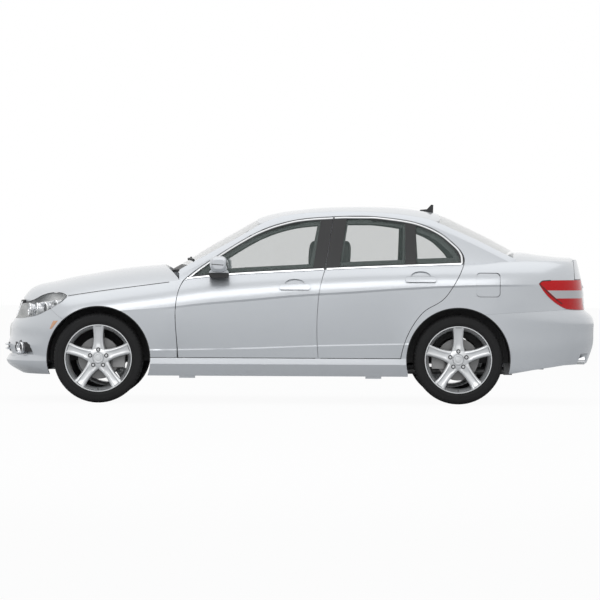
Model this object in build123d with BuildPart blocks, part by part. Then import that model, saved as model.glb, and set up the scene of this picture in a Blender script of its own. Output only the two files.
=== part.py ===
"""Four-door sedan, sizes in millimetres.

X runs to the rear, Y to the right side of the car, Z up from the ground.
"""
import math
import os

from build123d import *

os.makedirs("parts", exist_ok=True)

# Main sizes
FRONT_AXLE_X = -1522.0
REAR_AXLE_X = 1201.0
HALF_WIDTH = 885.0
WHEEL_Y = 752.0
TYRE_RADIUS = 338.0
TYRE_WIDTH = 206.0
RIM_RADIUS = 254.0
ARCH_RADIUS = 395.0
SHUT_GAP = 5.0
SEAT_GAP = 0.4
SKIN_THICKNESS = 12.0
DOOR_FLANGE = 25.0
DOOR_DEPTH = 110.0
DOOR_INSET = 25.0
FRAME_FLANGE = 14.0
FRAME_DEPTH = 40.0
PILLAR_DEPTH = 45.0
GLASS_SETBACK = 5.0
GLASS_THICKNESS = 5.0
FRONT_ROUNDING = 2.6
REAR_ROUNDING = 3.6

# Heights along the body side
SILL_BOTTOM_Z = 208.0
SILL_RIDGE_Z = 298.0
DOOR_BOTTOM_Z = 345.0
SILL_BOTTOM_W = 838.0
SILL_RIDGE_W = 868.0
CANT_DROP = 46.0

# Pieces
BELT_RISE = 14.0
GLASS_CLEARANCE = 0.4
GLASS_JOINT = 2.4
BEAD_RADIUS = 240.0
BEAD_CLEARANCE = 0.4
BARREL_RADIUS = 228.0
HUB_RADIUS = 70.0
SPOKE_COUNT = 5
SPOKE_START = 90.0
SPOKE_BACK = 46.0
SPOKE_DEPTH = 40.0
SPOKE_HALF = 92.0
SPOKE_REACH = 84.0
SPOKE_GROOVE = 9.0
DISC_RADIUS = 160.0
DISC_IN = 52.0
DISC_OUT = 26.0
CALIPER_CLEARANCE = 6.0
CARRIER_RADIUS = 52.0
AXLE_RADIUS = 20.0
AXLE_LENGTH = 60.0
EXHAUST_Y = -60.0
EXHAUST_Z = 236.0
EXHAUST_RADIUS = 28.0
EXHAUST_RISER_X = 1615.0
EXHAUST_RISER_SIZE = 64.0
MUFFLER_X = 1640.0
MUFFLER_LENGTH = 220.0
MUFFLER_Y = -330.0
MUFFLER_Z = 325.0
MUFFLER_WIDTH = 620.0
MUFFLER_HEIGHT = 126.0
REAR_BEAM_Z = 315.0
REAR_BEAM_HEIGHT = 80.0
EXHAUST_TIP_X = 2172.0
EXHAUST_TIP_Y = -560.0
EXHAUST_TIP_Z = 335.0
REAR_LINER_Y = 600.0
LINER_THICKNESS = 6.0
LINER_DEPTH = 6.0
KNUCKLE_Y = 590.0
KNUCKLE_BOTTOM_Z = 273.0
BALL_JOINT_Y = 565.0
RAIL_Y = 405.0
RAIL_BOTTOM_Z = 420.0
ENGINE_BOTTOM_Z = 315.0
FLOOR_BOTTOM_Z = 268.0
FLOOR_THICKNESS = 26.0
FLOOR_FRONT_X = -1010.0
FLOOR_REAR_X = 890.0
FIREWALL_TOP_Z = 918.0
FLOOR_HALF_WIDTH = 747.5
FLOOR_TAIL_X = 785.0
TRUNK_HALF_WIDTH = 540.0
TRUNK_REAR_X = 2125.0
FIREWALL_HALF_WIDTH = 640.0
FRONT_BEAM_X = -2110.0
REAR_PANEL_X = 2110.0
TRUNK_FLOOR_Z = 397.0
HOOD_STOP_X = -1820.0
HOOD_STOP_RADIUS = 8.0
HOOD_STOP_TOP_Z = 890.0
LID_STAY_X = 1720.0
LID_STAY_Y = 525.0
LID_STAY_TOP_Z = 1105.0
LINER_HOLE_RADIUS = 170.0
LINER_BOTTOM_Z = 310.0
DASH_HALF_WIDTH = 615.0
SEAT_Y = 370.0
SEAT_WIDTH = 500.0
HEADREST_WIDTH = 260.0
DRIVER_SEAT_X = 185.0
PASSENGER_SEAT_X = -5.0
REAR_SEAT_HALF_WIDTH = 535.0
STEER_X = -285.0
STEER_Z = 850.0
STEER_RAKE = 25.0
STEER_RADIUS = 178.0
STEER_COLUMN_RADIUS = 28.0
STEER_COLUMN_LENGTH = 260.0
FIREWALL_X = -990.0
SEAT_BOTTOM_Z = FLOOR_BOTTOM_Z + FLOOR_THICKNESS + SEAT_GAP
HANDLE_LENGTH = 232.0
HANDLE_HEIGHT = 40.0
HANDLE_CORNER = 16.0
SCOOP_DEPTH = 12.0
SCOOP_LENGTH = 150.0
SCOOP_HEIGHT = 76.0
SCOOP_RISE = 22.0
HANDLE_PLACES = ((-38.0, 884.0), (914.0, 946.0))
DOOR_HINGE_Y = 810.0
DOOR_HINGE_PLACES = ((-932.0, 690.0, 18.1), (148.0, 555.0, 9.1))
JACK_PAD_PLACES = (-850.0, 560.0)
JACK_PAD_Y = 780.0
JACK_PAD_BOTTOM_Z = 190.0
ARCH_INNER_Y = 440.0
FUEL_FLAP_X = 1423.0
FUEL_FLAP_Z = 905.0
FUEL_FLAP_SIZE = 175.0
FUEL_FLAP_CORNER = 30.0
HOOD_LIP_Z = 788.0
LID_FRONT_X = 1650.0
BUMPER_THICKNESS = 50.0
INTAKE_DEPTH = 30.0
INTAKE_HALF_WIDTH = 400.0
INTAKE_LOW_Z = 352.0
INTAKE_HIGH_Z = 452.0
FOG_INNER_Y = 520.0
LAMP_THICKNESS = 80.0
GRILLE_THICKNESS = 30.0
ROOF_JOINT = 3.0
SILL_TOP_Z = DOOR_BOTTOM_Z - SHUT_GAP / 2
MIRROR_X = -612.0
MIRROR_Z = 1052.0
MIRROR_SECTIONS = [(845, 58, 46), (880, 66, 58), (940, 68, 60), (990, 60, 50), (1010, 42, 34)]
MIRROR_ARM_IN = 776.0
MIRROR_ARM_OUT = 900.0
MIRROR_ARM_Z = 980.0
MIRROR_ARM_LENGTH = 150.0
MIRROR_ARM_HEIGHT = 60.0
NOSE_LIMIT_X = -1700.0
TAIL_LIMIT_X = 1390.0
GRILLE_HALF_WIDTH = 330.0
LAMP_INNER_Y = 433.0
HOOD_THICKNESS = 35.0
LID_THICKNESS = 40.0
QUARTER_THICKNESS = 60.0
QUARTER_END_X = 2090.0
FUEL_FLAP_THICKNESS = 8.0

MIDDLE_STATIONS = [-1680 + 150 * i for i in range(23)]
SIDE_STATIONS = [-1980, -1905, -1830] + MIDDLE_STATIONS + [1725, 1820, 1910, 1985, 2045, 2090]
CABIN_STATIONS = [-1000 + 110 * i for i in range(25)]
HOOD_STATIONS = [-2138, -2115, -2080, -2030, -1950, -1820, -1670, -1520, -1370, -1220, -1070, -960, -880]


def smooth(points):
    """Gives a smooth line, without overshoot, through (place, value) points."""
    xs = [p[0] for p in points]
    ys = [p[1] for p in points]
    last = len(xs) - 1
    steps = [(ys[i + 1] - ys[i]) / (xs[i + 1] - xs[i]) for i in range(last)]
    slopes = [steps[0]]
    for i in range(1, last):
        same_way = steps[i - 1] * steps[i] > 0
        slopes.append(2 * steps[i - 1] * steps[i] / (steps[i - 1] + steps[i]) if same_way else 0.0)
    slopes.append(steps[-1])

    def value(x):
        if x <= xs[0]:
            return ys[0]
        if x >= xs[-1]:
            return ys[-1]
        i = max(k for k in range(last) if xs[k] <= x)
        h = xs[i + 1] - xs[i]
        t = (x - xs[i]) / h
        a = (1 + 2 * t) * (1 - t) ** 2 * ys[i] + t * t * (3 - 2 * t) * ys[i + 1]
        return a + h * t * (1 - t) * ((1 - t) * slopes[i] - t * slopes[i + 1])

    return value


# Long lines of the body side: height and half width along X
shoulder_z = smooth([
    (-2100, 742), (-1775, 809), (-1530, 844), (-1224, 890), (-1010, 917), (-872, 938), (-536, 972),
    (0, 1004), (382, 1025), (765, 1042), (1240, 1061), (1579, 1082), (1800, 1090), (2140, 1082),
])
shoulder_w = smooth([
    (-2100, 745), (-1775, 758), (-1530, 756), (-1010, 770), (-536, 790), (0, 797),
    (382, 797), (765, 791), (1240, 772), (1579, 754), (2140, 745),
])
crease_z = smooth([
    (-2100, 600), (-1775, 652), (-1522, 684), (-995, 727), (-765, 755), (-382, 790), (0, 826),
    (382, 850), (765, 878), (1147, 899), (1530, 908), (2140, 914),
])
crease_depth = smooth([(-1050, 0.2), (-600, 6), (-200, 9), (1000, 9), (1450, 5), (1750, 0.2)])
strip_z = smooth([(-2100, 390), (-1048, 399), (-382, 414), (138, 435), (765, 450), (2140, 470)])
strip_w = smooth([(-1900, 878), (-1522, 880), (-1100, 873), (-700, 870), (600, 870), (800, 874), (1201, 881),
                  (1700, 878)])
strip_ledge = smooth([(-1100, 0.3), (-1000, 9), (700, 9), (800, 0.3)])
door_foot_w = smooth([(-1900, 872), (-1522, 873), (-1100, 863), (700, 863), (1201, 874), (1700, 872)])

# Profiles on the middle plane: nose and tail along Z, top lines along X
nose_x = smooth([
    (200, -2120), (240, -2196), (285, -2256), (312, -2268), (345, -2252), (380, -2245), (470, -2244),
    (536, -2236), (595, -2224), (640, -2192), (700, -2172), (760, -2158), (800, -2138), (850, -2094),
    (900, -2030),
])
tail_x = smooth([
    (220, 2150), (306, 2214), (360, 2236), (406, 2252), (475, 2266), (628, 2268), (666, 2252),
    (712, 2200), (781, 2189), (896, 2181), (1004, 2157), (1074, 2142), (1110, 2132),
])
hood_z = smooth([
    (-2140, 790), (-2094, 846), (-2047, 878), (-1953, 903), (-1811, 934), (-1575, 981), (-1339, 1019),
    (-1102, 1044), (-880, 1060),
])
roof_z = smooth([
    (-1100, 955), (-866, 1091), (-677, 1208), (-488, 1316), (-394, 1370), (-299, 1418), (-205, 1443),
    (-110, 1462), (0, 1476), (126, 1489), (268, 1498), (457, 1502), (646, 1500), (787, 1492),
    (930, 1474), (1071, 1448), (1165, 1411), (1260, 1366), (1449, 1275), (1638, 1172), (1760, 1100),
])
deck_z = smooth([(1560, 1150), (1700, 1154), (1874, 1133), (2016, 1119), (2110, 1114), (2150, 1106)])
cant_z = smooth([
    (-1100, 900), (-846, 1049), (-616, 1176), (-385, 1308), (-293, 1365), (-154, 1415), (0, 1441),
    (231, 1455), (462, 1459), (693, 1446), (847, 1427), (1001, 1398), (1078, 1366), (1309, 1263),
    (1579, 1130), (1760, 1040),
])


def front_factor(x, z):
    """Share of the half width left by the rounding of the nose."""
    tip = nose_x(z)
    if x >= FRONT_AXLE_X:
        return 1.0
    t = max(0.0, (x - tip) / (FRONT_AXLE_X - tip))
    return (1 - (1 - t) ** FRONT_ROUNDING) ** (1 / FRONT_ROUNDING)


def rear_factor(x, z):
    """Share of the half width left by the rounding of the tail."""
    tip = tail_x(z)
    if x <= REAR_AXLE_X:
        return 1.0
    t = max(0.0, (tip - x) / (tip - REAR_AXLE_X))
    return (1 - (1 - t) ** REAR_ROUNDING) ** (1 / REAR_ROUNDING)


def side_lines(x):
    """Corner points (half width, height) of the body side at X, from the sill up, without end rounding."""
    strip = (strip_w(x), strip_z(x))
    over_strip = (strip_w(x) - strip_ledge(x), strip_z(x) + 10)
    under_crease = (HALF_WIDTH - crease_depth(x), crease_z(x) - 16)
    return [
        (SILL_BOTTOM_W, SILL_BOTTOM_Z),
        (SILL_RIDGE_W, SILL_RIDGE_Z),
        (door_foot_w(x), DOOR_BOTTOM_Z),
        strip,
        over_strip,
        under_crease,
        (HALF_WIDTH, crease_z(x)),
        (shoulder_w(x), shoulder_z(x)),
    ]


def panel_bulge(low, high):
    """Point that bows the panel between the strip and the crease."""
    return (high[0] - 0.12 * (high[0] - low[0]), low[1] + 0.6 * (high[1] - low[1]))


def shoulder_bulge(low, high):
    """Point that bows the panel between the crease and the shoulder."""
    return (low[0] - 0.3 * (low[0] - high[0]), low[1] + 0.6 * (high[1] - low[1]))


def rounded(x, point):
    """Applies the rounding of both ends to a side point."""
    w, z = point
    return (w * front_factor(x, z) * rear_factor(x, z), z)


def side_width(x, z):
    """Half width of the body side at X and height Z, with the end rounding."""
    c = side_lines(x)
    low = panel_bulge(c[4], c[5])
    high = shoulder_bulge(c[6], c[7])
    path = c[:5] + [low] + c[5:7] + [high] + c[7:]
    w = smooth([(p[1], p[0]) for p in path])(z)
    return rounded(x, (w, z))[0]


def side_curve(depth, c, low, high):
    """Draws the body side's section, moved in by a depth."""
    skin = [(depth - p[0], p[1]) for p in c]
    Polyline(*skin[:5])
    Spline(skin[4], (depth - low[0], low[1]), skin[5])
    Line(skin[5], skin[6])
    Spline(skin[6], (depth - high[0], high[1]), skin[7])


def side_layer(outer, inner, stations):
    """Wall of the left body side between two depths under its skin."""
    with BuildPart() as wall:
        for x in stations:
            c = [rounded(x, p) for p in side_lines(x)]
            low = panel_bulge(c[4], c[5])
            high = shoulder_bulge(c[6], c[7])
            with BuildSketch(Plane.YZ.offset(x)):
                with BuildLine():
                    side_curve(outer, c, low, high)
                    side_curve(inner, c, low, high)
                    Line((outer - c[0][0], c[0][1]), (inner - c[0][0], c[0][1]))
                    Line((outer - c[7][0], c[7][1]), (inner - c[7][0], c[7][1]))
                make_face()
        loft()
    return wall.part


def cabin_lines(x):
    """Half width and height of the cabin's belt, rail, cant line and top at X."""
    rail_z = cant_z(x) - CANT_DROP
    belt_z = min(shoulder_z(x) - 30, rail_z - 30)
    belt = (shoulder_w(x) * rear_factor(x, 1000) - 4, belt_z)
    rise = rail_z - belt_z
    rail = (belt[0] - 0.33 * rise - 0.00026 * rise * rise, rail_z)
    cant = (rail[0] - 40, cant_z(x))
    return belt, rail, cant, (0.0, roof_z(x))


def cabin_layer(outer, inner, stations):
    """Half shell of the cabin, left side, between two depths under its skin."""
    with BuildPart() as shell:
        for x in stations:
            belt, rail, cant, top = cabin_lines(x)
            side = (0.54 * belt[0] + 0.46 * rail[0], 0.5 * (belt[1] + rail[1]))
            roll = (0.42 * rail[0] + 0.58 * cant[0], 0.35 * rail[1] + 0.65 * cant[1])
            crown = (0.5 * cant[0], 0.22 * cant[1] + 0.78 * top[1])
            with BuildSketch(Plane.YZ.offset(x)):
                with BuildLine():
                    out = [(outer - p[0], p[1] - 0.3 * outer) for p in (belt, side, rail)]
                    over = [(0.75 * outer - p[0], p[1] - 0.75 * outer) for p in (roll, cant)]
                    top_out = [(-crown[0], crown[1] - outer), (0, top[1] - outer)]
                    inn = [(inner - p[0], p[1] - 0.3 * inner) for p in (belt, side, rail)]
                    under = [(0.75 * inner - p[0], p[1] - 0.75 * inner) for p in (roll, cant)]
                    top_in = [(-crown[0], crown[1] - inner), (0, top[1] - inner)]
                    Spline(*out)
                    Spline(out[2], *over)
                    Spline(over[1], *top_out)
                    Line(top_out[1], top_in[1])
                    Spline(top_in[1], top_in[0], under[1])
                    Spline(under[1], under[0], inn[2])
                    Spline(inn[2], inn[1], inn[0])
                    Line(inn[0], out[0])
                make_face()
        loft()
    return shell.part


def end_layer(levels, tip, limit, thickness):
    """Half wall round one end of the body, left side, lofted up through the given heights."""
    with BuildPart() as wall:
        for z in levels:
            nose = tip(z)
            way = 1 if limit > nose else -1
            reach = abs(limit - nose)
            with BuildSketch(Plane.XY.offset(z)):
                with BuildLine():
                    shares = [0.004, 0.02, 0.06, 0.13, 0.24, 0.42, 0.68, 1.0]
                    xs = [nose + way * s * reach for s in shares]
                    skin = [(x, -side_width(x, z)) for x in xs]
                    back = [(x + way * thickness * (1 - s), thickness - side_width(x, z))
                            for x, s in zip(xs[1:], shares[1:])]
                    inside = [(nose + way * thickness, 0.0)] + [(p[0], min(p[1], -1.0)) for p in back]
                    Spline((nose, 0.0), *skin, tangents=[(0, -1), (way, 0)])
                    Line(skin[-1], inside[-1])
                    Spline(*reversed(inside), tangents=[(-way, 0), (0, 1)])
                    Line(inside[0], (nose, 0.0))
                make_face()
        loft()
    return wall.part


def top_layer(height, inset, thickness, stations):
    """Left half of a lid on the top of the body, from the shoulder line to the middle plane."""
    with BuildPart() as lid:
        for x in stations:
            edge_w, edge_z = rounded(x, (shoulder_w(x), shoulder_z(x)))
            edge_w = edge_w - inset
            rise = height(x) - edge_z
            with BuildSketch(Plane.YZ.offset(x)):
                with BuildLine():
                    skin = [(-edge_w, edge_z), (-0.8 * edge_w, edge_z + 0.45 * rise),
                            (-0.45 * edge_w, edge_z + 0.85 * rise), (0, height(x))]
                    under = [(p[0], p[1] - thickness) for p in reversed(skin)]
                    Spline(*skin)
                    Line(skin[3], under[0])
                    Spline(*under)
                    Line(under[3], skin[0])
                make_face()
        loft()
    return lid.part


def moved_points(points, inset):
    """Shifts outline points inwards, each along its own (x, z) direction."""
    return [(p[0] + inset * p[2], p[1] + inset * p[3]) for p in points]


def belt_points(xs, rise):
    """Points a little over the shoulder line."""
    return [(x, shoulder_z(x) + rise) for x in xs]


def front_door_outline(inset):
    """Front door seen from the side, moved inwards from the shut lines."""
    lead = moved_points([(-920, 345, 1, 1), (-933, 520, 1, 0), (-941, 690, 1, 0), (-930, 800, 1, 0),
                         (-907, 880, 1, -0.3), (-872, 938, 1, -0.5)], inset)
    top = moved_points([(-872, 938, 1, -0.5), (-772, 1019, 0.55, -0.84), (-618, 1124, 0.55, -0.84),
                        (-463, 1222, 0.53, -0.85), (-309, 1306, 0.45, -0.9), (-154, 1363, 0.3, -0.95),
                        (0, 1398, 0.16, -1), (154, 1413, 0.06, -1), (255, 1419, -1, -1)], inset)
    trail = moved_points([(191, 1016, -1, 0), (168, 942, -1, 0), (149, 853, -1, 0), (134, 704, -1, 0),
                          (130, 555, -1, 0), (141, 345, -1, 1)], inset)
    with BuildLine() as outline:
        Spline(*lead)
        Spline(*top)
        Line(top[-1], trail[0])
        Spline(*trail)
        Line(trail[-1], lead[0])
    return outline.line


def rear_door_outline(inset):
    """Rear door seen from the side, moved inwards from the shut lines."""
    lead = moved_points([(141, 345, 1, 1), (130, 555, 1, 0), (134, 704, 1, 0), (149, 853, 1, 0),
                         (168, 942, 1, 0), (191, 1016, 1, 0)], inset)
    top = moved_points([(255, 1419, 1, -1), (347, 1423, 0, -1), (541, 1423, 0, -1), (695, 1409, -0.1, -1),
                        (849, 1385, -0.25, -0.95), (965, 1349, -0.4, -0.9), (1081, 1289, -0.55, -0.8),
                        (1158, 1226, -0.7, -0.7), (1212, 1172, -0.8, -0.6), (1243, 1118, -1, -0.2),
                        (1243, 1061, -1, 0)], inset)
    trail = moved_points([(1243, 1061, -1, 0), (1216, 995, -1, 0.3), (1147, 872, -0.85, 0.5),
                          (1071, 782, -0.7, 0.7), (956, 714, -0.7, 0.7), (880, 632, -0.9, 0.4),
                          (819, 527, -1, 0.2), (788, 445, -1, 0), (765, 345, -1, 1)], inset)
    with BuildLine() as outline:
        Spline(*lead)
        Line(lead[-1], top[0])
        Spline(*top)
        Spline(*trail)
        Line(trail[-1], lead[0])
    return outline.line


def front_window_outline(inset):
    """Opening of the front door's window."""
    top = moved_points([(-800, 972, 1, 0.2), (-772, 994, 0.55, -0.84), (-618, 1099, 0.55, -0.84),
                        (-463, 1197, 0.53, -0.85), (-309, 1281, 0.45, -0.9), (-154, 1339, 0.3, -0.95),
                        (0, 1374, 0.16, -1), (160, 1390, -1, -1)], inset)
    belt = belt_points([100 - inset, -150, -380, -600], BELT_RISE + inset)
    with BuildLine() as outline:
        Spline(*top)
        Line(top[-1], belt[0])
        Spline(*belt, top[0])
    return outline.line


def rear_window_outline(inset):
    """Opening of the rear door's dropping window."""
    top = moved_points([(352, 1399, 1, -1), (541, 1400, 0, -1), (695, 1386, -0.1, -1), (800, 1370, -1, -1)],
                       inset)
    belt = belt_points([800 - inset, 640, 480, 300 + inset], BELT_RISE + inset)
    with BuildLine() as outline:
        Spline(*top)
        Line(top[-1], belt[0])
        Spline(*belt)
        Line(belt[-1], top[0])
    return outline.line


def quarter_window_outline(inset):
    """Opening of the rear door's fixed pane."""
    top = moved_points([(880, 1352, 1, -1), (965, 1322, -0.4, -0.9), (1060, 1272, -0.5, -0.85),
                        (1130, 1212, -0.7, -0.7), (1182, 1156, -0.8, -0.6), (1210, 1110, -1, -0.2)], inset)
    belt = belt_points([1212 - inset, 1040, 880 + inset], BELT_RISE + inset)
    with BuildLine() as outline:
        Spline(*top)
        Line(top[-1], belt[0])
        Spline(*belt)
        Line(belt[-1], top[0])
    return outline.line


def tail_lamp_outline(inset):
    """Tail lamp seen from the side, open to the rear."""
    top = moved_points([(2260, 946, 0, -1), (1840, 942, 0.3, -1), (1806, 918, 1, -0.3)], inset)
    low = moved_points([(1806, 918, 1, -0.3), (1874, 824, 0.7, 0.7), (1958, 757, 0.6, 0.8),
                        (2027, 724, 0.3, 1)], inset)
    foot = moved_points([(2027, 724, 0.3, 1), (2134, 717, 0, 1), (2260, 717, 0, 1)], inset)
    with BuildLine() as outline:
        Polyline(*top)
        Spline(*low)
        Polyline(*foot, top[0])
    return outline.line


def headlamp_outline(inset):
    """Headlamp seen from the side, open to the front."""
    top = moved_points([(-2160, 738, 0, -1), (-2080, 753, 0.2, -1), (-2020, 775, 0.4, -0.9),
                        (-1974, 800, 0.3, -0.95), (-1897, 823, 0.1, -1), (-1836, 827, 0, -1),
                        (-1790, 817, -0.3, -0.95), (-1767, 803, -1, 0)], inset)
    low = moved_points([(-1767, 803, -1, 0), (-1813, 760, -0.6, 0.8), (-1890, 707, -0.5, 0.85),
                        (-1974, 670, -0.3, 0.95), (-2070, 641, -0.2, 1), (-2160, 632, 0, 1)], inset)
    with BuildLine() as outline:
        Spline(*top)
        Spline(*low)
        Polyline(low[-1], (-2300, low[-1][1]), (-2300, top[0][1]), top[0])
    return outline.line


def side_prism(line, depth=1200.0):
    """Solid prism of a side view outline, over the left half."""
    with BuildPart() as prism:
        with BuildSketch(Plane.XZ):
            make_face(line)
        extrude(amount=depth)
    return prism.part


def corner_outline(points):
    """Closed outline of straight lines."""
    with BuildLine() as outline:
        Polyline(*points, close=True)
    return outline.line


def cant_points(xs, gap):
    """Plan points along the left cant line, moved towards the middle by the gap."""
    return [(x, gap - cabin_lines(x)[2][0]) for x in xs]


# Wall layers of the body side and of the cabin
door_flange_layer = side_layer(0, DOOR_FLANGE, SIDE_STATIONS)
door_inner_layer = side_layer(DOOR_FLANGE - 5, DOOR_DEPTH, SIDE_STATIONS)
frame_flange_layer = cabin_layer(0, FRAME_FLANGE, CABIN_STATIONS)
frame_inner_layer = cabin_layer(FRAME_FLANGE - 4, FRAME_DEPTH, CABIN_STATIONS)
pillar_layer = cabin_layer(0, PILLAR_DEPTH, CABIN_STATIONS)
glass_layer = cabin_layer(GLASS_SETBACK, GLASS_SETBACK + GLASS_THICKNESS, CABIN_STATIONS)
grip_layer = side_layer(-26, -10, SIDE_STATIONS)
foot_layer = side_layer(-14, 10, SIDE_STATIONS)
scoop_layer = side_layer(-5, SCOOP_DEPTH, SIDE_STATIONS)
skin_layer = side_layer(0, SKIN_THICKNESS, SIDE_STATIONS)
front_door_front = side_prism(front_door_outline(SHUT_GAP / 2))
rear_door_front = side_prism(rear_door_outline(SHUT_GAP / 2))


def handle(place):
    """Grip bar standing off a left door on two feet."""
    x, z = place
    with BuildPart() as grip:
        add(grip_layer)
        with BuildSketch(Plane.XZ):
            with Locations((x, z)):
                RectangleRounded(HANDLE_LENGTH, HANDLE_HEIGHT, HANDLE_CORNER)
        extrude(amount=1200, mode=Mode.INTERSECT)
    with BuildPart() as feet:
        add(foot_layer)
        with BuildSketch(Plane.XZ):
            with GridLocations(HANDLE_LENGTH - 50, 0, 2, 1):
                with Locations((x, z)):
                    RectangleRounded(44, 26, 8)
        extrude(amount=1200, mode=Mode.INTERSECT)
    return grip.part + feet.part


def scoop(place):
    """Hollow in a left door behind the middle of its handle."""
    x, z = place
    with BuildPart() as hollow:
        add(scoop_layer)
        with BuildSketch(Plane.XZ):
            with Locations((x, z + SCOOP_RISE)):
                Ellipse(SCOOP_LENGTH / 2, SCOOP_HEIGHT / 2)
        extrude(amount=1200, mode=Mode.INTERSECT)
    return hollow.part


def door(face_prism, core_prism, openings, handle_place):
    """Left door: outer flange, thicker core behind it, window openings and handle."""
    core = (door_inner_layer + frame_inner_layer) & core_prism
    grip = handle(handle_place)
    hollow = scoop(handle_place)
    with BuildPart() as leaf:
        add(door_flange_layer)
        add(frame_flange_layer)
        add(face_prism, mode=Mode.INTERSECT)
        add(core)
        for opening in openings:
            with BuildSketch(Plane.XZ):
                make_face(opening)
            extrude(amount=1200, mode=Mode.SUBTRACT)
        add(hollow, mode=Mode.SUBTRACT)
        add(grip)
    return leaf.part


# Doors, door glass and mirrors
front_door_core = side_prism(front_door_outline(SHUT_GAP / 2 + DOOR_INSET))
rear_door_core = side_prism(rear_door_outline(SHUT_GAP / 2 + DOOR_INSET))

with BuildPart() as front_door_left:
    add(door(front_door_front, front_door_core, [front_window_outline(0)], HANDLE_PLACES[0]))

with BuildPart() as rear_door_left:
    add(door(rear_door_front, rear_door_core, [rear_window_outline(0), quarter_window_outline(0)],
             HANDLE_PLACES[1]))

with BuildPart() as front_door_glass_left:
    add(glass_layer)
    with BuildSketch(Plane.XZ):
        make_face(front_window_outline(GLASS_CLEARANCE))
    extrude(amount=1200, mode=Mode.INTERSECT)

with BuildPart() as rear_door_glass_left:
    add(glass_layer)
    with BuildSketch(Plane.XZ):
        make_face(rear_window_outline(GLASS_CLEARANCE))
        make_face(quarter_window_outline(GLASS_CLEARANCE))
    extrude(amount=1200, mode=Mode.INTERSECT)

with BuildPart() as mirror_left:
    for y, half_x, half_z in MIRROR_SECTIONS:
        with BuildSketch(Plane.XZ.offset(y)):
            with Locations((MIRROR_X, MIRROR_Z)):
                RectangleRounded(2 * half_x, 2 * half_z, 0.8 * min(half_x, half_z))
    loft()
    with BuildSketch(Plane.XZ.offset(MIRROR_ARM_IN)):
        with Locations((MIRROR_X, MIRROR_ARM_Z)):
            RectangleRounded(MIRROR_ARM_LENGTH, MIRROR_ARM_HEIGHT, 0.4 * MIRROR_ARM_HEIGHT)
    extrude(amount=MIRROR_ARM_OUT - MIRROR_ARM_IN)
    add(front_door_left.part.moved(Location((0, -SEAT_GAP, 0))), mode=Mode.SUBTRACT)

# Roof, windshield and rear window
with BuildPart() as roof:
    add(pillar_layer)
    with BuildSketch(Plane.XY.offset(1200)):
        with BuildLine():
            edge = cant_points([-290, -150, 0, 231, 462, 693, 847, 1001, 1035], ROOF_JOINT)
            Spline((-330, 0), (-322, -260), edge[0], tangents=[(0, -1), (0.5, -0.9)])
            Spline(*edge)
            Spline(edge[-1], (1068, -260), (1075, 0), tangents=[(0.5, 0.9), (0, 1)])
            Line((1075, 0), (-330, 0))
        make_face()
    extrude(amount=500, mode=Mode.INTERSECT)
    mirror(about=Plane.XZ)

with BuildPart() as windshield:
    add(glass_layer)
    with BuildSketch(Plane.XY.offset(900)):
        with BuildLine():
            edge = cant_points([-850, -700, -500, -385, -291.5], GLASS_JOINT)
            Spline((-915, 0), (-902, -330), edge[0], tangents=[(0, -1), (0.5, -0.9)])
            Spline(*edge)
            Spline(edge[-1], (-322.6, -260), (-330.5, 0), tangents=[(-0.5, 0.9), (0, 1)])
            Line((-330.5, 0), (-915, 0))
        make_face()
    extrude(amount=700, mode=Mode.INTERSECT)
    mirror(about=Plane.XZ)

with BuildPart() as rear_window:
    add(glass_layer)
    with BuildSketch(Plane.XY.offset(1000)):
        with BuildLine():
            edge = cant_points([1036, 1150, 1300, 1450, 1590], GLASS_JOINT)
            Spline((1075.5, 0), (1068.6, -260), edge[0], tangents=[(0, -1), (-0.5, -0.9)])
            Spline(*edge)
            Spline(edge[-1], (1632, -330), (1640, 0), tangents=[(0.5, 0.9), (0, 1)])
            Line((1640, 0), (1075.5, 0))
        make_face()
    extrude(amount=600, mode=Mode.INTERSECT)
    mirror(about=Plane.XZ)

# Body sides: pillars, roof rail, sill and rear quarter
with BuildPart() as cabin_middle:
    with BuildSketch(Plane.XY.offset(800)):
        with BuildLine():
            edge = cant_points([-1000, -850, -700, -500, -385, -293, -150, 0, 231, 462, 693, 847, 1001, 1150,
                                1300, 1450, 1590, 1640], 0)
            Spline(*edge)
            Polyline(edge[-1], (1660, 0), (-1010, 0), edge[0])
        make_face()
    extrude(amount=900)

with BuildPart() as arches:
    for axle_x in (FRONT_AXLE_X, REAR_AXLE_X):
        with BuildSketch(Plane.XZ.offset(ARCH_INNER_Y)):
            with Locations((axle_x, TYRE_RADIUS)):
                Circle(ARCH_RADIUS)
    extrude(amount=500)

flap_layer = side_layer(0, FUEL_FLAP_THICKNESS, SIDE_STATIONS)
pocket_layer = side_layer(-20, QUARTER_THICKNESS - 20, SIDE_STATIONS)
with BuildPart() as fuel_flap:
    add(flap_layer)
    with BuildSketch(Plane.XZ):
        with Locations((FUEL_FLAP_X, FUEL_FLAP_Z)):
            RectangleRounded(FUEL_FLAP_SIZE, FUEL_FLAP_SIZE, FUEL_FLAP_CORNER)
    extrude(amount=1200, mode=Mode.INTERSECT)

with BuildPart() as fuel_pocket:
    add(pocket_layer)
    with BuildSketch(Plane.XZ):
        with Locations((FUEL_FLAP_X + (SHUT_GAP - SEAT_GAP) / 2, FUEL_FLAP_Z)):
            RectangleRounded(FUEL_FLAP_SIZE + SHUT_GAP + SEAT_GAP, FUEL_FLAP_SIZE + 2 * SHUT_GAP,
                             FUEL_FLAP_CORNER)
    extrude(amount=1200, mode=Mode.INTERSECT)


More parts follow.
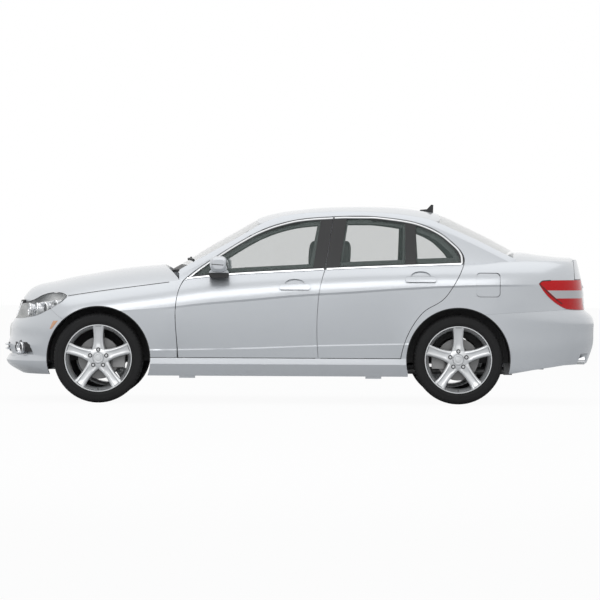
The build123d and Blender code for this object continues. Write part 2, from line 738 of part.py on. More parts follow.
def body_side():
    """Left body side without the fuel pocket: pillars, roof rail, sill and rear quarter."""
    quarter = side_layer(0, QUARTER_THICKNESS, SIDE_STATIONS) & side_prism(corner_outline([
        (740, 342.5), (1300, 342.5), (1300, 675), (1390, 680.6), (1567, 692), (2027, 721), (2100, 721),
        (2100, 1200), (740, 1200),
    ]))
    sill = side_layer(0, DOOR_DEPTH, SIDE_STATIONS) & side_prism(corner_outline([
        (-1150, 200), (820, 200), (820, SILL_TOP_Z), (-1150, SILL_TOP_Z),
    ]))
    pillars = side_layer(DOOR_FLANGE + SHUT_GAP, DOOR_DEPTH + 40, SIDE_STATIONS)
    hinge_pillar = pillars & side_prism(corner_outline([
        (-1010, 300), (-950, 300), (-950, 790), (-903, 826), (-890, 872), (-893, 888), (-902, 895),
        (-880, 936), (-880, 960), (-912, 960), (-912, 866), (-1010, 866),
    ]))
    middle_pillar = pillars & side_prism(corner_outline([
        (119, 300), (119, 345), (114, 420), (108.5, 555), (112.5, 704), (127.5, 853), (146.5, 942),
        (153, 970), (199, 970), (190, 942), (171, 853), (156, 704), (152, 555), (160, 345), (160, 300),
    ]))
    upper_layer = cabin_layer(PILLAR_DEPTH, PILLAR_DEPTH + 40, CABIN_STATIONS)
    upper_pillar = upper_layer & side_prism(corner_outline([
        (172, 950), (192, 950), (212, 1026), (260, 1037), (318, 1400), (168, 1400), (128, 1034), (168, 1026),
    ]))
    front_opening = side_prism(front_door_outline(-SHUT_GAP / 2))
    rear_opening = side_prism(rear_door_outline(-SHUT_GAP / 2))
    lamp_opening = side_prism(tail_lamp_outline(-SEAT_GAP))
    with BuildPart() as side:
        add(pillar_layer)
        add(cabin_middle.part, mode=Mode.SUBTRACT)
        with BuildSketch(Plane.XZ):
            with BuildLine():
                Polyline((-915, 900), (-915, 1600), (1640, 1600), (1640, 900), close=True)
            make_face()
        extrude(amount=1200, mode=Mode.INTERSECT)
        add(quarter)
        add(sill)
        add(front_opening, mode=Mode.SUBTRACT)
        add(rear_opening, mode=Mode.SUBTRACT)
        add(arches.part, mode=Mode.SUBTRACT)
        add(lamp_opening, mode=Mode.SUBTRACT)
        add(hinge_pillar)
        add(middle_pillar)
        add(upper_pillar)
        for hinge_x, hinge_z, reach in DOOR_HINGE_PLACES:
            with Locations((hinge_x, -DOOR_HINGE_Y, hinge_z)):
                Box(2 * reach, 50, 40)
        for pad_x in JACK_PAD_PLACES:
            with Locations((pad_x, -JACK_PAD_Y, JACK_PAD_BOTTOM_Z + 20)):
                Box(120, 60, 40)
    return side.part


with BuildPart() as body_side_right:
    mirror(body_side(), about=Plane.XZ)

with BuildPart() as body_side_left:
    mirror(body_side_right.part, about=Plane.XZ)
    add(fuel_pocket.part, mode=Mode.SUBTRACT)

# Front fenders
headlamp_seat = side_prism(headlamp_outline(-SEAT_GAP))
with BuildPart() as fender_left:
    add(skin_layer)
    with BuildSketch(Plane.XZ):
        with BuildLine():
            lead = moved_points([(-925, 347, -1, 0), (-933, 520, -1, 0), (-941, 690, -1, 0),
                                 (-930, 800, -1, 0), (-907, 880, -1, 0.3), (-880, 930, -1, 0.5)],
                                SHUT_GAP / 2)
            Spline(*lead)
            Polyline(lead[-1], (-885, 960), (-1700, 960), (-1767, 803), (-1888, 706), (-1798, 631.2),
                     (-1700, 621), (-1700, 347), lead[0])
        make_face()
    extrude(amount=1200, mode=Mode.INTERSECT)
    add(arches.part, mode=Mode.SUBTRACT)
    add(headlamp_seat, mode=Mode.SUBTRACT)

# Hood and trunk lid
hood_layer = top_layer(hood_z, SKIN_THICKNESS + SHUT_GAP, HOOD_THICKNESS, HOOD_STATIONS)
headlamp_gap = side_prism(headlamp_outline(-SHUT_GAP))
with BuildPart() as hood:
    add(hood_layer)
    with BuildSketch(Plane.XY.offset(600)):
        with BuildLine():
            Spline((-2138, 0), (-2130, -180), (-2105, -330), (-2050, -480), (-1960, -620), (-1790, -760))
            Polyline((-1790, -760), (-1700, -830), (-900, -830), (-925, -720))
            Spline((-925, -720), (-972, -560), (-1024, -300), (-1039, 0))
            Line((-1039, 0), (-2138, 0))
        make_face()
    extrude(amount=600, mode=Mode.INTERSECT)
    add(headlamp_gap, mode=Mode.SUBTRACT)
    with BuildSketch(Plane.XZ):
        with BuildLine():
            Polyline((-2300, 600), (-1900, 600), (-1900, HOOD_LIP_Z - 40), (-2000, HOOD_LIP_Z - 20),
                     (-2300, HOOD_LIP_Z), close=True)
        make_face()
    extrude(amount=GRILLE_HALF_WIDTH + SHUT_GAP, mode=Mode.SUBTRACT)
    mirror(about=Plane.XZ)

deck_layer = top_layer(deck_z, QUARTER_THICKNESS + SHUT_GAP, LID_THICKNESS,
                       [1600, 1680, 1760, 1850, 1940, 2010, 2060, 2100])
rear_face = end_layer([716, 781, 840, 896, 950, 1004, 1050, 1074, 1100], tail_x, TAIL_LIMIT_X, LID_THICKNESS)
wings = rear_face & side_prism(corner_outline([
    (QUARTER_END_X + SHUT_GAP, 951), (2300, 951), (2300, 1120), (QUARTER_END_X + SHUT_GAP, 1120),
]))
lid_middle = rear_face & side_prism(corner_outline([(2000, 720), (2300, 720), (2300, 1000), (2000, 1000)]),
                                    LAMP_INNER_Y - SHUT_GAP)
with BuildPart() as trunk_lid:
    add(deck_layer)
    with BuildSketch(Plane.XY.offset(900)):
        with BuildLine():
            Spline((LID_FRONT_X, 0), (LID_FRONT_X - 8, -330), (1610, -640))
            Polyline((1610, -640), (1610, -900), (2100, -900), (2100, 0), (LID_FRONT_X, 0))
        make_face()
    extrude(amount=400, mode=Mode.INTERSECT)
    add(wings)
    add(lid_middle)
    mirror(about=Plane.XZ)

# Bumpers, lamps and grille
lip_layer = end_layer([212, 240, 285, 312], nose_x, NOSE_LIMIT_X, BUMPER_THICKNESS)
step_layer = end_layer([312, 345], nose_x, NOSE_LIMIT_X, BUMPER_THICKNESS)
face_layer = end_layer([345, 380, 470, 536, 595, 640, 690, 730], nose_x, NOSE_LIMIT_X, BUMPER_THICKNESS)
intake_layer = end_layer([346, 380, 470, 480], nose_x, NOSE_LIMIT_X, INTAKE_DEPTH)
fog_pocket = intake_layer & side_prism(corner_outline([
    (-2300, 352), (-2016, 358), (-2052, 438), (-2090, 468), (-2300, 472),
]))
with BuildPart() as intake_box:
    with Locations((-2200, 0, (INTAKE_LOW_Z + INTAKE_HIGH_Z) / 2)):
        Box(400, 2 * INTAKE_HALF_WIDTH, INTAKE_HIGH_Z - INTAKE_LOW_Z)
with BuildPart() as fog_side:
    with Locations((-2150, -FOG_INNER_Y - 250, 410)):
        Box(400, 500, 200)
intake = intake_layer & intake_box.part
fog_opening = fog_pocket & fog_side.part
with BuildPart() as front_bumper:
    add(lip_layer)
    add(step_layer)
    add(face_layer)
    with BuildSketch(Plane.XZ):
        with BuildLine():
            Polyline((-2300, 200), (NOSE_LIMIT_X, 200), (NOSE_LIMIT_X, 620), (-1798.6, 630.6), (-1889, 705.6))
            Spline((-1889, 705.6), (-1974, 669.4), (-2070, 640.4), (-2160, 631.4))
            Polyline((-2160, 631.4), (-2300, 631.4), (-2300, 200))
        make_face()
    extrude(amount=1200, mode=Mode.INTERSECT)
    add(arches.part, mode=Mode.SUBTRACT)
    add(fog_opening, mode=Mode.SUBTRACT)
    add(intake, mode=Mode.SUBTRACT)
    mirror(about=Plane.XZ)

tail_layer = end_layer([226, 306, 360, 406, 475, 560, 628, 666, 722], tail_x, TAIL_LIMIT_X, BUMPER_THICKNESS)
with BuildPart() as rear_bumper:
    add(tail_layer)
    with BuildSketch(Plane.XZ):
        with BuildLine():
            Polyline((1390, 680), (1567, 691.4), (2027, 720.4), (2134, 713), (2300, 713), (2300, 308),
                     (2127, 304), (2004, 298), (1760, 262), (1590, 232), (1390, 230), close=True)
        make_face()
    extrude(amount=1200, mode=Mode.INTERSECT)
    add(arches.part, mode=Mode.SUBTRACT)
    with Locations((2150, EXHAUST_TIP_Y, EXHAUST_TIP_Z - 60)):
        Box(300, 150, 220, mode=Mode.SUBTRACT)
    mirror(about=Plane.XZ)

lamp_layer = end_layer([610, 640, 700, 760, 800, 850], nose_x, NOSE_LIMIT_X, LAMP_THICKNESS)
headlamp_prism = side_prism(headlamp_outline(0))
with BuildPart() as headlamps:
    add(lamp_layer)
    add(headlamp_prism, mode=Mode.INTERSECT)
    with BuildSketch(Plane.XZ):
        with Locations((-2000, 720)):
            Rectangle(800, 400)
    extrude(amount=GRILLE_HALF_WIDTH + SEAT_GAP, mode=Mode.SUBTRACT)
    mirror(about=Plane.XZ)

tail_lamp_layer = end_layer([700, 740, 781, 840, 896, 960], tail_x, TAIL_LIMIT_X, LAMP_THICKNESS)
tail_lamp_prism = side_prism(tail_lamp_outline(0))
with BuildPart() as tail_lamps:
    add(tail_lamp_layer)
    add(tail_lamp_prism, mode=Mode.INTERSECT)
    with BuildSketch(Plane.XZ):
        with Locations((2100, 830)):
            Rectangle(800, 400)
    extrude(amount=LAMP_INNER_Y, mode=Mode.SUBTRACT)
    mirror(about=Plane.XZ)

grille_levels = [632, 665, 700, 735, 760, 790]
grille_layer = end_layer(grille_levels, nose_x, NOSE_LIMIT_X, GRILLE_THICKNESS)
with BuildPart() as grille:
    add(grille_layer)
    with BuildSketch(Plane.XZ):
        with BuildLine():
            Polyline((-2300, 631.8), (-1950, 631.8), (-1950, 743), (-2100, 763), (-2300, 780), close=True)
        make_face()
    extrude(amount=GRILLE_HALF_WIDTH, mode=Mode.INTERSECT)
    mirror(about=Plane.XZ)

cowl_layer = cabin_layer(10, 30, CABIN_STATIONS)
with BuildPart() as cowl:
    add(cowl_layer)
    with BuildSketch(Plane.XY.offset(800)):
        with BuildLine():
            Spline((-995, 0), (-985, -300), (-930, -560), (-900, -680))
            Line((-900, -680), (-860, -680))
            Spline((-860, -680), (-906, -330), (-919, 0))
            Line((-919, 0), (-995, 0))
        make_face()
    extrude(amount=500, mode=Mode.INTERSECT)
    mirror(about=Plane.XZ)

# Wheels and tyres, built round the Y axis with the outer face towards -Y
with BuildPart() as wheel_shape:
    with BuildSketch(Plane.YZ):
        with BuildLine():
            Polyline((112, RIM_RADIUS - 10), (112, RIM_RADIUS), (106, RIM_RADIUS), (103.5, BEAD_RADIUS),
                     (-103.5, BEAD_RADIUS), (-106, RIM_RADIUS), (-112, RIM_RADIUS), (-112, RIM_RADIUS - 7),
                     (-104, BARREL_RADIUS + 10), (-96, BARREL_RADIUS), (104, BARREL_RADIUS), close=True)
        make_face()
    revolve(axis=Axis.Y)
    with BuildSketch(Plane.XZ.offset(SPOKE_BACK)):
        with PolarLocations((HUB_RADIUS + BARREL_RADIUS) / 2, SPOKE_COUNT, start_angle=SPOKE_START):
            Polygon((-SPOKE_HALF, -30), (SPOKE_REACH, -40), (SPOKE_REACH, 40), (-SPOKE_HALF, 30), align=None)
    extrude(amount=SPOKE_DEPTH)
    with BuildSketch(Plane.XZ.offset(SPOKE_BACK + SPOKE_DEPTH)):
        with PolarLocations((HUB_RADIUS + BARREL_RADIUS) / 2, SPOKE_COUNT, start_angle=SPOKE_START):
            SlotOverall(120, 30)
    extrude(amount=-SPOKE_GROOVE, mode=Mode.SUBTRACT)
    with BuildSketch(Plane.XZ.offset(-DISC_OUT)):
        Circle(HUB_RADIUS)
    extrude(amount=DISC_OUT + SPOKE_BACK + SPOKE_DEPTH + 4)
    with BuildSketch(Plane.XZ.offset(-DISC_IN)):
        Circle(DISC_RADIUS)
    extrude(amount=DISC_IN - DISC_OUT)
    with BuildSketch(Plane.XZ.offset(-DISC_IN)):
        Circle(AXLE_RADIUS + SEAT_GAP)
    extrude(amount=AXLE_LENGTH + CALIPER_CLEARANCE, mode=Mode.SUBTRACT)

with BuildPart() as tyre_shape:
    with BuildSketch(Plane.YZ):
        with BuildLine():
            bead = BEAD_RADIUS + BEAD_CLEARANCE
            Polyline((TYRE_WIDTH / 2, bead), (TYRE_WIDTH / 2, TYRE_RADIUS), (-TYRE_WIDTH / 2, TYRE_RADIUS),
                     (-TYRE_WIDTH / 2, bead), close=True)
        make_face()
    revolve(axis=Axis.Y)


def placed(shape, axle_x):
    """Left wheel or tyre at its axle."""
    return shape.part.moved(Location((axle_x, -WHEEL_Y, TYRE_RADIUS)))


with BuildPart() as wheel_front_left:
    add(placed(wheel_shape, FRONT_AXLE_X))

with BuildPart() as wheel_rear_left:
    add(placed(wheel_shape, REAR_AXLE_X))

with BuildPart() as tyre_front_left:
    add(placed(tyre_shape, FRONT_AXLE_X))

with BuildPart() as tyre_rear_left:
    add(placed(tyre_shape, REAR_AXLE_X))


def carrier(axle_x, caliper_way, root_y):
    """Left wheel carrier with its brake caliper, clear of the disc and the hub."""
    disc_in = WHEEL_Y - DISC_IN
    disc_out = WHEEL_Y - DISC_OUT
    with BuildPart() as block:
        with BuildSketch(Plane.XZ.offset(root_y)):
            with Locations((axle_x, TYRE_RADIUS)):
                Circle(CARRIER_RADIUS)
        extrude(amount=disc_in - CALIPER_CLEARANCE - root_y)
        with BuildSketch(Plane.XZ.offset(disc_in - CALIPER_CLEARANCE - 30)):
            with Locations((axle_x + caliper_way * 100, TYRE_RADIUS)):
                Rectangle(200, 70)
        extrude(amount=30)
        with BuildSketch(Plane.XZ.offset(disc_in - CALIPER_CLEARANCE - 12)):
            with Locations((axle_x + caliper_way * 152, TYRE_RADIUS)):
                Rectangle(90, 140)
        extrude(amount=disc_out - disc_in + 2 * CALIPER_CLEARANCE + 26)
        with BuildSketch(Plane.XZ.offset(disc_in - CALIPER_CLEARANCE)):
            with Locations((axle_x, TYRE_RADIUS)):
                Circle(DISC_RADIUS + CALIPER_CLEARANCE)
        extrude(amount=disc_out - disc_in + 2 * CALIPER_CLEARANCE, mode=Mode.SUBTRACT)
        with BuildSketch(Plane.XZ.offset(disc_in - CALIPER_CLEARANCE - 10)):
            with Locations((axle_x, TYRE_RADIUS)):
                Circle(AXLE_RADIUS)
        extrude(amount=AXLE_LENGTH + CALIPER_CLEARANCE)
    return block.part


with BuildPart() as knuckle_left:
    add(carrier(FRONT_AXLE_X, 1, KNUCKLE_Y))
    with Locations((FRONT_AXLE_X, -KNUCKLE_Y, KNUCKLE_BOTTOM_Z + 125)):
        Box(70, 40, 250)

# Axles, engine, radiator and exhaust
with BuildPart() as front_subframe:
    with Locations((FRONT_AXLE_X, 0, 260)):
        Box(120, 760, 60)
    with Locations((FRONT_AXLE_X, 0, 252)):
        Box(76, 1120, 24)
    for side_y in (-RAIL_Y, RAIL_Y):
        with Locations((FRONT_AXLE_X, side_y, (260 + RAIL_BOTTOM_Z - SEAT_GAP) / 2)):
            Box(80, 46, RAIL_BOTTOM_Z - SEAT_GAP - 260)
    for side_y in (-BALL_JOINT_Y, BALL_JOINT_Y):
        with Locations((FRONT_AXLE_X, side_y, (245 + KNUCKLE_BOTTOM_Z - SEAT_GAP) / 2)):
            Box(60, 40, KNUCKLE_BOTTOM_Z - SEAT_GAP - 245)
    for side_y in (-250, 250):
        with Locations((FRONT_AXLE_X, side_y, (280 + ENGINE_BOTTOM_Z - SEAT_GAP) / 2)):
            Box(80, 60, ENGINE_BOTTOM_Z - SEAT_GAP - 280)

rear_carrier = carrier(REAR_AXLE_X, -1, 520)
with BuildPart() as rear_subframe:
    with Locations((REAR_AXLE_X, 0, REAR_BEAM_Z)):
        Box(130, 1000, REAR_BEAM_HEIGHT)
    with Locations((REAR_AXLE_X, 0, TYRE_RADIUS)):
        Box(60, 1080, 60)
    for side_y in (-RAIL_Y, RAIL_Y):
        with Locations((REAR_AXLE_X, side_y, (REAR_BEAM_Z + TRUNK_FLOOR_Z - SEAT_GAP) / 2)):
            Box(80, 60, TRUNK_FLOOR_Z - SEAT_GAP - REAR_BEAM_Z)
    add(rear_carrier)
    mirror(rear_carrier, about=Plane.XZ)

with BuildPart() as engine:
    with Locations((-1430, 0, ENGINE_BOTTOM_Z + 250)):
        Box(680, 600, 500)

with BuildPart() as radiator:
    with Locations((FRONT_BEAM_X + 20 + SEAT_GAP + 25, 0, 465)):
        Box(50, 720, 290)

with BuildPart() as exhaust:
    with BuildSketch(Plane.YZ.offset(FLOOR_FRONT_X + 60)):
        with Locations((EXHAUST_Y, EXHAUST_Z)):
            Circle(EXHAUST_RADIUS)
    extrude(amount=EXHAUST_RISER_X - FLOOR_FRONT_X - 60)
    with Locations((EXHAUST_RISER_X, EXHAUST_Y, (EXHAUST_Z + MUFFLER_Z) / 2)):
        Box(EXHAUST_RISER_SIZE, EXHAUST_RISER_SIZE, MUFFLER_Z - EXHAUST_Z + EXHAUST_RISER_SIZE)
    with BuildSketch(Plane.YZ.offset(MUFFLER_X)):
        with Locations((MUFFLER_Y, MUFFLER_Z)):
            RectangleRounded(MUFFLER_WIDTH, MUFFLER_HEIGHT, 0.4 * MUFFLER_HEIGHT)
    extrude(amount=MUFFLER_LENGTH)
    with BuildSketch(Plane.YZ.offset(MUFFLER_X + MUFFLER_LENGTH - 10)):
        with Locations((EXHAUST_TIP_Y, EXHAUST_TIP_Z)):
            SlotOverall(110, 62)
    extrude(amount=EXHAUST_TIP_X - MUFFLER_X - MUFFLER_LENGTH + 10)
    with Locations((0, EXHAUST_Y, (EXHAUST_Z + FLOOR_BOTTOM_Z - SEAT_GAP) / 2)):
        Box(40, 30, FLOOR_BOTTOM_Z - SEAT_GAP - EXHAUST_Z)
    with Locations((MUFFLER_X + MUFFLER_LENGTH / 2, MUFFLER_Y, (MUFFLER_Z + TRUNK_FLOOR_Z - SEAT_GAP) / 2)):
        Box(40, 30, TRUNK_FLOOR_Z - SEAT_GAP - MUFFLER_Z)

# Floor, firewall, front rails and trunk floor
floor_top_z = FLOOR_BOTTOM_Z + FLOOR_THICKNESS
with BuildPart() as floor:
    with Locations(((FLOOR_FRONT_X + FLOOR_TAIL_X) / 2, 0, FLOOR_BOTTOM_Z + FLOOR_THICKNESS / 2)):
        Box(FLOOR_TAIL_X - FLOOR_FRONT_X, 2 * FLOOR_HALF_WIDTH, FLOOR_THICKNESS)
    with Locations(((FLOOR_TAIL_X + FLOOR_REAR_X) / 2, 0, FLOOR_BOTTOM_Z + FLOOR_THICKNESS / 2)):
        Box(FLOOR_REAR_X - FLOOR_TAIL_X, 2 * TRUNK_HALF_WIDTH, FLOOR_THICKNESS)

with BuildPart() as firewall:
    with Locations((FIREWALL_X - 10, 0, (floor_top_z + SEAT_GAP + FIREWALL_TOP_Z) / 2)):
        Box(20, 2 * FIREWALL_HALF_WIDTH, FIREWALL_TOP_Z - floor_top_z - SEAT_GAP)

rail_rear_x = FIREWALL_X - 20 - SEAT_GAP
with BuildPart() as front_rails:
    for side_y in (-RAIL_Y, RAIL_Y):
        with Locations(((FRONT_BEAM_X + rail_rear_x) / 2, side_y, RAIL_BOTTOM_Z + 50)):
            Box(rail_rear_x - FRONT_BEAM_X, 50, 100)
        with BuildSketch(Plane.XY.offset(RAIL_BOTTOM_Z + 90)):
            with Locations((HOOD_STOP_X, side_y)):
                Circle(HOOD_STOP_RADIUS)
        extrude(amount=HOOD_STOP_TOP_Z - RAIL_BOTTOM_Z - 90)
    with Locations((FRONT_BEAM_X, 0, RAIL_BOTTOM_Z + 50)):
        Box(40, 1040, 120)
    add(hood.part.moved(Location((0, 0, -SEAT_GAP))), mode=Mode.SUBTRACT)
    add(front_bumper.part.moved(Location((SEAT_GAP, 0, 0))), mode=Mode.SUBTRACT)

with BuildPart() as trunk_floor:
    with Locations((FLOOR_REAR_X, 0, (floor_top_z + SEAT_GAP + TRUNK_FLOOR_Z + FLOOR_THICKNESS) / 2)):
        Box(30, 2 * TRUNK_HALF_WIDTH, TRUNK_FLOOR_Z + FLOOR_THICKNESS - floor_top_z - SEAT_GAP)
    with Locations(((FLOOR_REAR_X + TRUNK_REAR_X) / 2, 0, TRUNK_FLOOR_Z + FLOOR_THICKNESS / 2)):
        Box(TRUNK_REAR_X - FLOOR_REAR_X, 2 * TRUNK_HALF_WIDTH, FLOOR_THICKNESS)
    for side_y in (-LID_STAY_Y, LID_STAY_Y):
        with BuildSketch(Plane.XY.offset(TRUNK_FLOOR_Z + 10)):
            with Locations((LID_STAY_X, side_y)):
                Circle(HOOD_STOP_RADIUS)
        extrude(amount=LID_STAY_TOP_Z - TRUNK_FLOOR_Z - 10)
    with Locations((REAR_PANEL_X, 0, 560)):
        Box(30, 1000, 300)
    add(trunk_lid.part.moved(Location((0, 0, -SEAT_GAP))), mode=Mode.SUBTRACT)
    add(rear_bumper.part.moved(Location((-SEAT_GAP, 0, 0))), mode=Mode.SUBTRACT)

liner_layer = side_layer(LINER_DEPTH, ARCH_INNER_Y + 50, SIDE_STATIONS)
with BuildPart() as arch_liners:
    for axle_x, inner_y in ((FRONT_AXLE_X, ARCH_INNER_Y - LINER_THICKNESS), (REAR_AXLE_X, REAR_LINER_Y)):
        with BuildSketch(Plane.XZ.offset(inner_y)):
            with Locations((axle_x, TYRE_RADIUS)):
                Circle(ARCH_RADIUS - SEAT_GAP)
                Circle(ARCH_RADIUS - SEAT_GAP - LINER_THICKNESS, mode=Mode.SUBTRACT)
        extrude(amount=HALF_WIDTH - inner_y)
        with BuildSketch(Plane.XZ.offset(inner_y)):
            with Locations((axle_x, TYRE_RADIUS)):
                Circle(ARCH_RADIUS - SEAT_GAP)
                Circle(LINER_HOLE_RADIUS, mode=Mode.SUBTRACT)
        extrude(amount=LINER_THICKNESS)
    with Locations((0, 0, 1000)):
        Box(5000, 2000, 2 * (1000 - LINER_BOTTOM_Z), mode=Mode.INTERSECT)
    add(liner_layer, mode=Mode.INTERSECT)
    mirror(about=Plane.XZ)

# Cabin
steering_plane = Plane(origin=(STEER_X, -SEAT_Y, STEER_Z), x_dir=(0, 1, 0),
                       z_dir=(math.cos(math.radians(STEER_RAKE)), 0, math.sin(math.radians(STEER_RAKE))))
with BuildPart() as dashboard:
    with BuildSketch(Plane.XZ.offset(-DASH_HALF_WIDTH)):
        with BuildLine():
            Polyline((FIREWALL_X + SEAT_GAP, 640), (-560, 620), (-440, 700), (-470, 860), (-600, 935),
                     (-860, 960), (FIREWALL_X + SEAT_GAP, 915), close=True)
        make_face()
    extrude(amount=2 * DASH_HALF_WIDTH)
    with Locations(steering_plane.offset(-STEER_COLUMN_LENGTH / 2)):
        Cylinder(STEER_COLUMN_RADIUS + SEAT_GAP, STEER_COLUMN_LENGTH + 20, mode=Mode.SUBTRACT)


def front_seat(seat_x, seat_y):
    """Cushion, leaning back and headrest of one front seat."""
    with BuildPart() as seat:
        with BuildSketch(Plane.XZ.offset(-seat_y - SEAT_WIDTH / 2)):
            with BuildLine():
                Polyline((seat_x - 480, 300), (seat_x - 490, 470), (seat_x - 40, 430), (seat_x + 90, 1020),
                         (seat_x + 190, 1010), (seat_x + 90, 380), (seat_x + 40, SEAT_BOTTOM_Z),
                         (seat_x - 400, SEAT_BOTTOM_Z), close=True)
            make_face()
        extrude(amount=SEAT_WIDTH)
        with BuildSketch(Plane.XZ.offset(-seat_y - HEADREST_WIDTH / 2)):
            with BuildLine():
                Polyline((seat_x + 108, 1000), (seat_x + 118, 1230), (seat_x + 196, 1240),
                         (seat_x + 215, 1090), (seat_x + 170, 1000), close=True)
            make_face()
        extrude(amount=HEADREST_WIDTH)
    return seat.part


driver_seat = front_seat(DRIVER_SEAT_X, -SEAT_Y)
passenger_seat = front_seat(PASSENGER_SEAT_X, SEAT_Y)
with BuildPart() as front_seats:
    add(driver_seat)
    add(passenger_seat)

with BuildPart() as rear_seat:
    with BuildSketch(Plane.XZ.offset(-REAR_SEAT_HALF_WIDTH)):
        with BuildLine():
            Polyline((500, SEAT_BOTTOM_Z), (500, 470), (860, 440), (1010, 1020), (1110, 1010), (990, 440),
                     (960, 430), (860, 425), (860, SEAT_BOTTOM_Z), close=True)
        make_face()
    extrude(amount=2 * REAR_SEAT_HALF_WIDTH)

with BuildPart() as parcel_shelf:
    with Locations((1110.3 + 240, 0, 1010)):
        Box(480, 1120, 24)

with BuildPart(steering_plane) as steering_wheel:
    Torus(STEER_RADIUS, 16)
    Cylinder(75, 50)
    for angle in (0, 180, 270):
        with PolarLocations(STEER_RADIUS / 2, 1, start_angle=angle):
            Box(STEER_RADIUS, 40, 16)
    with Locations((0, 0, -STEER_COLUMN_LENGTH / 2)):
        Cylinder(STEER_COLUMN_RADIUS, STEER_COLUMN_LENGTH)

with BuildPart() as antenna:
    with BuildSketch(Plane.XZ.offset(-7)):
        with BuildLine():
            Polyline((930, 1440), (1031, 1420), (1034, 1520), (1018, 1523), (985, 1487), (930, 1482),
                     close=True)
        make_face()
    extrude(amount=14)
    add(roof.part.moved(Location((0, 0, 0.5))), mode=Mode.SUBTRACT)

# Right side pieces
left_pieces = {
    "front_door": front_door_left, "rear_door": rear_door_left, "front_door_glass": front_door_glass_left,
    "rear_door_glass": rear_door_glass_left, "mirror": mirror_left, "fender": fender_left,
    "knuckle": knuckle_left, "wheel_front": wheel_front_left, "wheel_rear": wheel_rear_left,
    "tyre_front": tyre_front_left, "tyre_rear": tyre_rear_left,
}
pieces = {
    "roof": roof.part, "windshield": windshield.part, "rear_window": rear_window.part,
    "body_side_left": body_side_left.part, "body_side_right": body_side_right.part,
    "fuel_flap": fuel_flap.part, "hood": hood.part, "trunk_lid": trunk_lid.part,
    "front_bumper": front_bumper.part, "rear_bumper": rear_bumper.part,
    "headlamps": headlamps.part, "tail_lamps": tail_lamps.part, "grille": grille.part, "cowl": cowl.part,
    "front_subframe": front_subframe.part, "rear_subframe": rear_subframe.part, "engine": engine.part,
    "radiator": radiator.part, "exhaust": exhaust.part, "floor": floor.part, "firewall": firewall.part,
    "front_rails": front_rails.part, "trunk_floor": trunk_floor.part, "arch_liners": arch_liners.part,
    "dashboard": dashboard.part, "front_seats": front_seats.part, "rear_seat": rear_seat.part,
    "parcel_shelf": parcel_shelf.part, "steering_wheel": steering_wheel.part, "antenna": antenna.part,
}
for name, left in left_pieces.items():
    with BuildPart() as right:
        mirror(left.part, about=Plane.XZ)
    pieces[f"{name}_left"] = left.part
    pieces[f"{name}_right"] = right.part

for name, piece in pieces.items():
    piece.label = name
    export_step(piece, f"parts/{name}.step")
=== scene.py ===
"""Finishes, trim, wheels and cabin of a silver four-door sedan, in metres.

X runs to the rear, Y to the car's right side, Z up. The left side is built and mirrored.
"""
import math

import bmesh
import bpy
from mathutils import Matrix, Vector
from mathutils.bvhtree import BVHTree


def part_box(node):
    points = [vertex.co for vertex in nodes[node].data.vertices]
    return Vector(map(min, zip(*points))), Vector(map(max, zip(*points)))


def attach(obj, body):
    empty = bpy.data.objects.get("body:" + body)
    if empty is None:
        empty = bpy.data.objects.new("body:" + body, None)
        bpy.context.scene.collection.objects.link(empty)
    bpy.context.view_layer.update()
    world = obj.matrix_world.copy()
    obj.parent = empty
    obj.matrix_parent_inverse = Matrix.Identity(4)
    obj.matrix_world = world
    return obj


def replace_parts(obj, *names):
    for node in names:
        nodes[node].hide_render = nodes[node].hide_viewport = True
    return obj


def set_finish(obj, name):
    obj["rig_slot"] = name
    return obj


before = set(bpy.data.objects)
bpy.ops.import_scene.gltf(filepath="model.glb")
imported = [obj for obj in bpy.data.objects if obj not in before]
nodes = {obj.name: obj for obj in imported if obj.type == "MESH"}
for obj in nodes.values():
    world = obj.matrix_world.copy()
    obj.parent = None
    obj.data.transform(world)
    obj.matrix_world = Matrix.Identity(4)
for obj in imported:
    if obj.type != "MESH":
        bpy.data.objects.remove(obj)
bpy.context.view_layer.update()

# Camera: a long lens square to the left side
CAMERA_DISTANCE = 30.885
CAMERA_HEIGHT = 1.1
CAMERA_LENS = 238.4
CAMERA_SHIFT = -0.0695
CAMERA_ROLL = math.radians(0.3)

# Colours, linear
SILVER = (0.54, 0.56, 0.585)
BLACK = (0.012, 0.012, 0.013)

# Long lines of the left side, as (x, z)
BELT_POINTS = [(-0.872, 0.938), (-0.536, 0.972), (0.0, 1.004), (0.382, 1.025), (0.765, 1.042), (1.24, 1.061)]
FRONT_FRAME_TOP = [(-0.872, 0.938), (-0.772, 1.019), (-0.618, 1.124), (-0.463, 1.222), (-0.309, 1.306),
                   (-0.154, 1.363), (0.0, 1.398), (0.154, 1.413), (0.250, 1.418)]
REAR_FRAME_TOP = [(0.262, 1.419), (0.347, 1.423), (0.541, 1.423), (0.695, 1.409), (0.849, 1.385),
                  (0.965, 1.349), (1.081, 1.289), (1.158, 1.226), (1.212, 1.172), (1.238, 1.118),
                  (1.241, 1.066)]
BELT_CURVE = (1.004, 0.058, -0.0105)
FRAME_INSET = 0.012
STRIP_WIDTH = 0.013
STRIP_HEIGHT = 0.005


# Shared effects for the finishes
def feed(tree, socket, given):
    """Joins a socket to another node's output, or gives it a plain value."""
    if isinstance(given, bpy.types.NodeSocket):
        tree.links.new(given, socket)
    else:
        socket.default_value = given


def math_step(tree, operation, *inputs):
    """Result of a math node fed by numbers or other outputs."""
    step = tree.nodes.new("ShaderNodeMath")
    step.operation = operation
    for socket, given in zip(step.inputs, inputs):
        feed(tree, socket, given)
    return step.outputs["Value"]


def mix_color(tree, amount, first, second):
    """Colour between two colours or outputs."""
    mix = tree.nodes.new("ShaderNodeMix")
    mix.data_type = "RGBA"
    for place, given in ((0, amount), (6, first), (7, second)):
        feed(tree, mix.inputs[place], given)
    return mix.outputs[2]


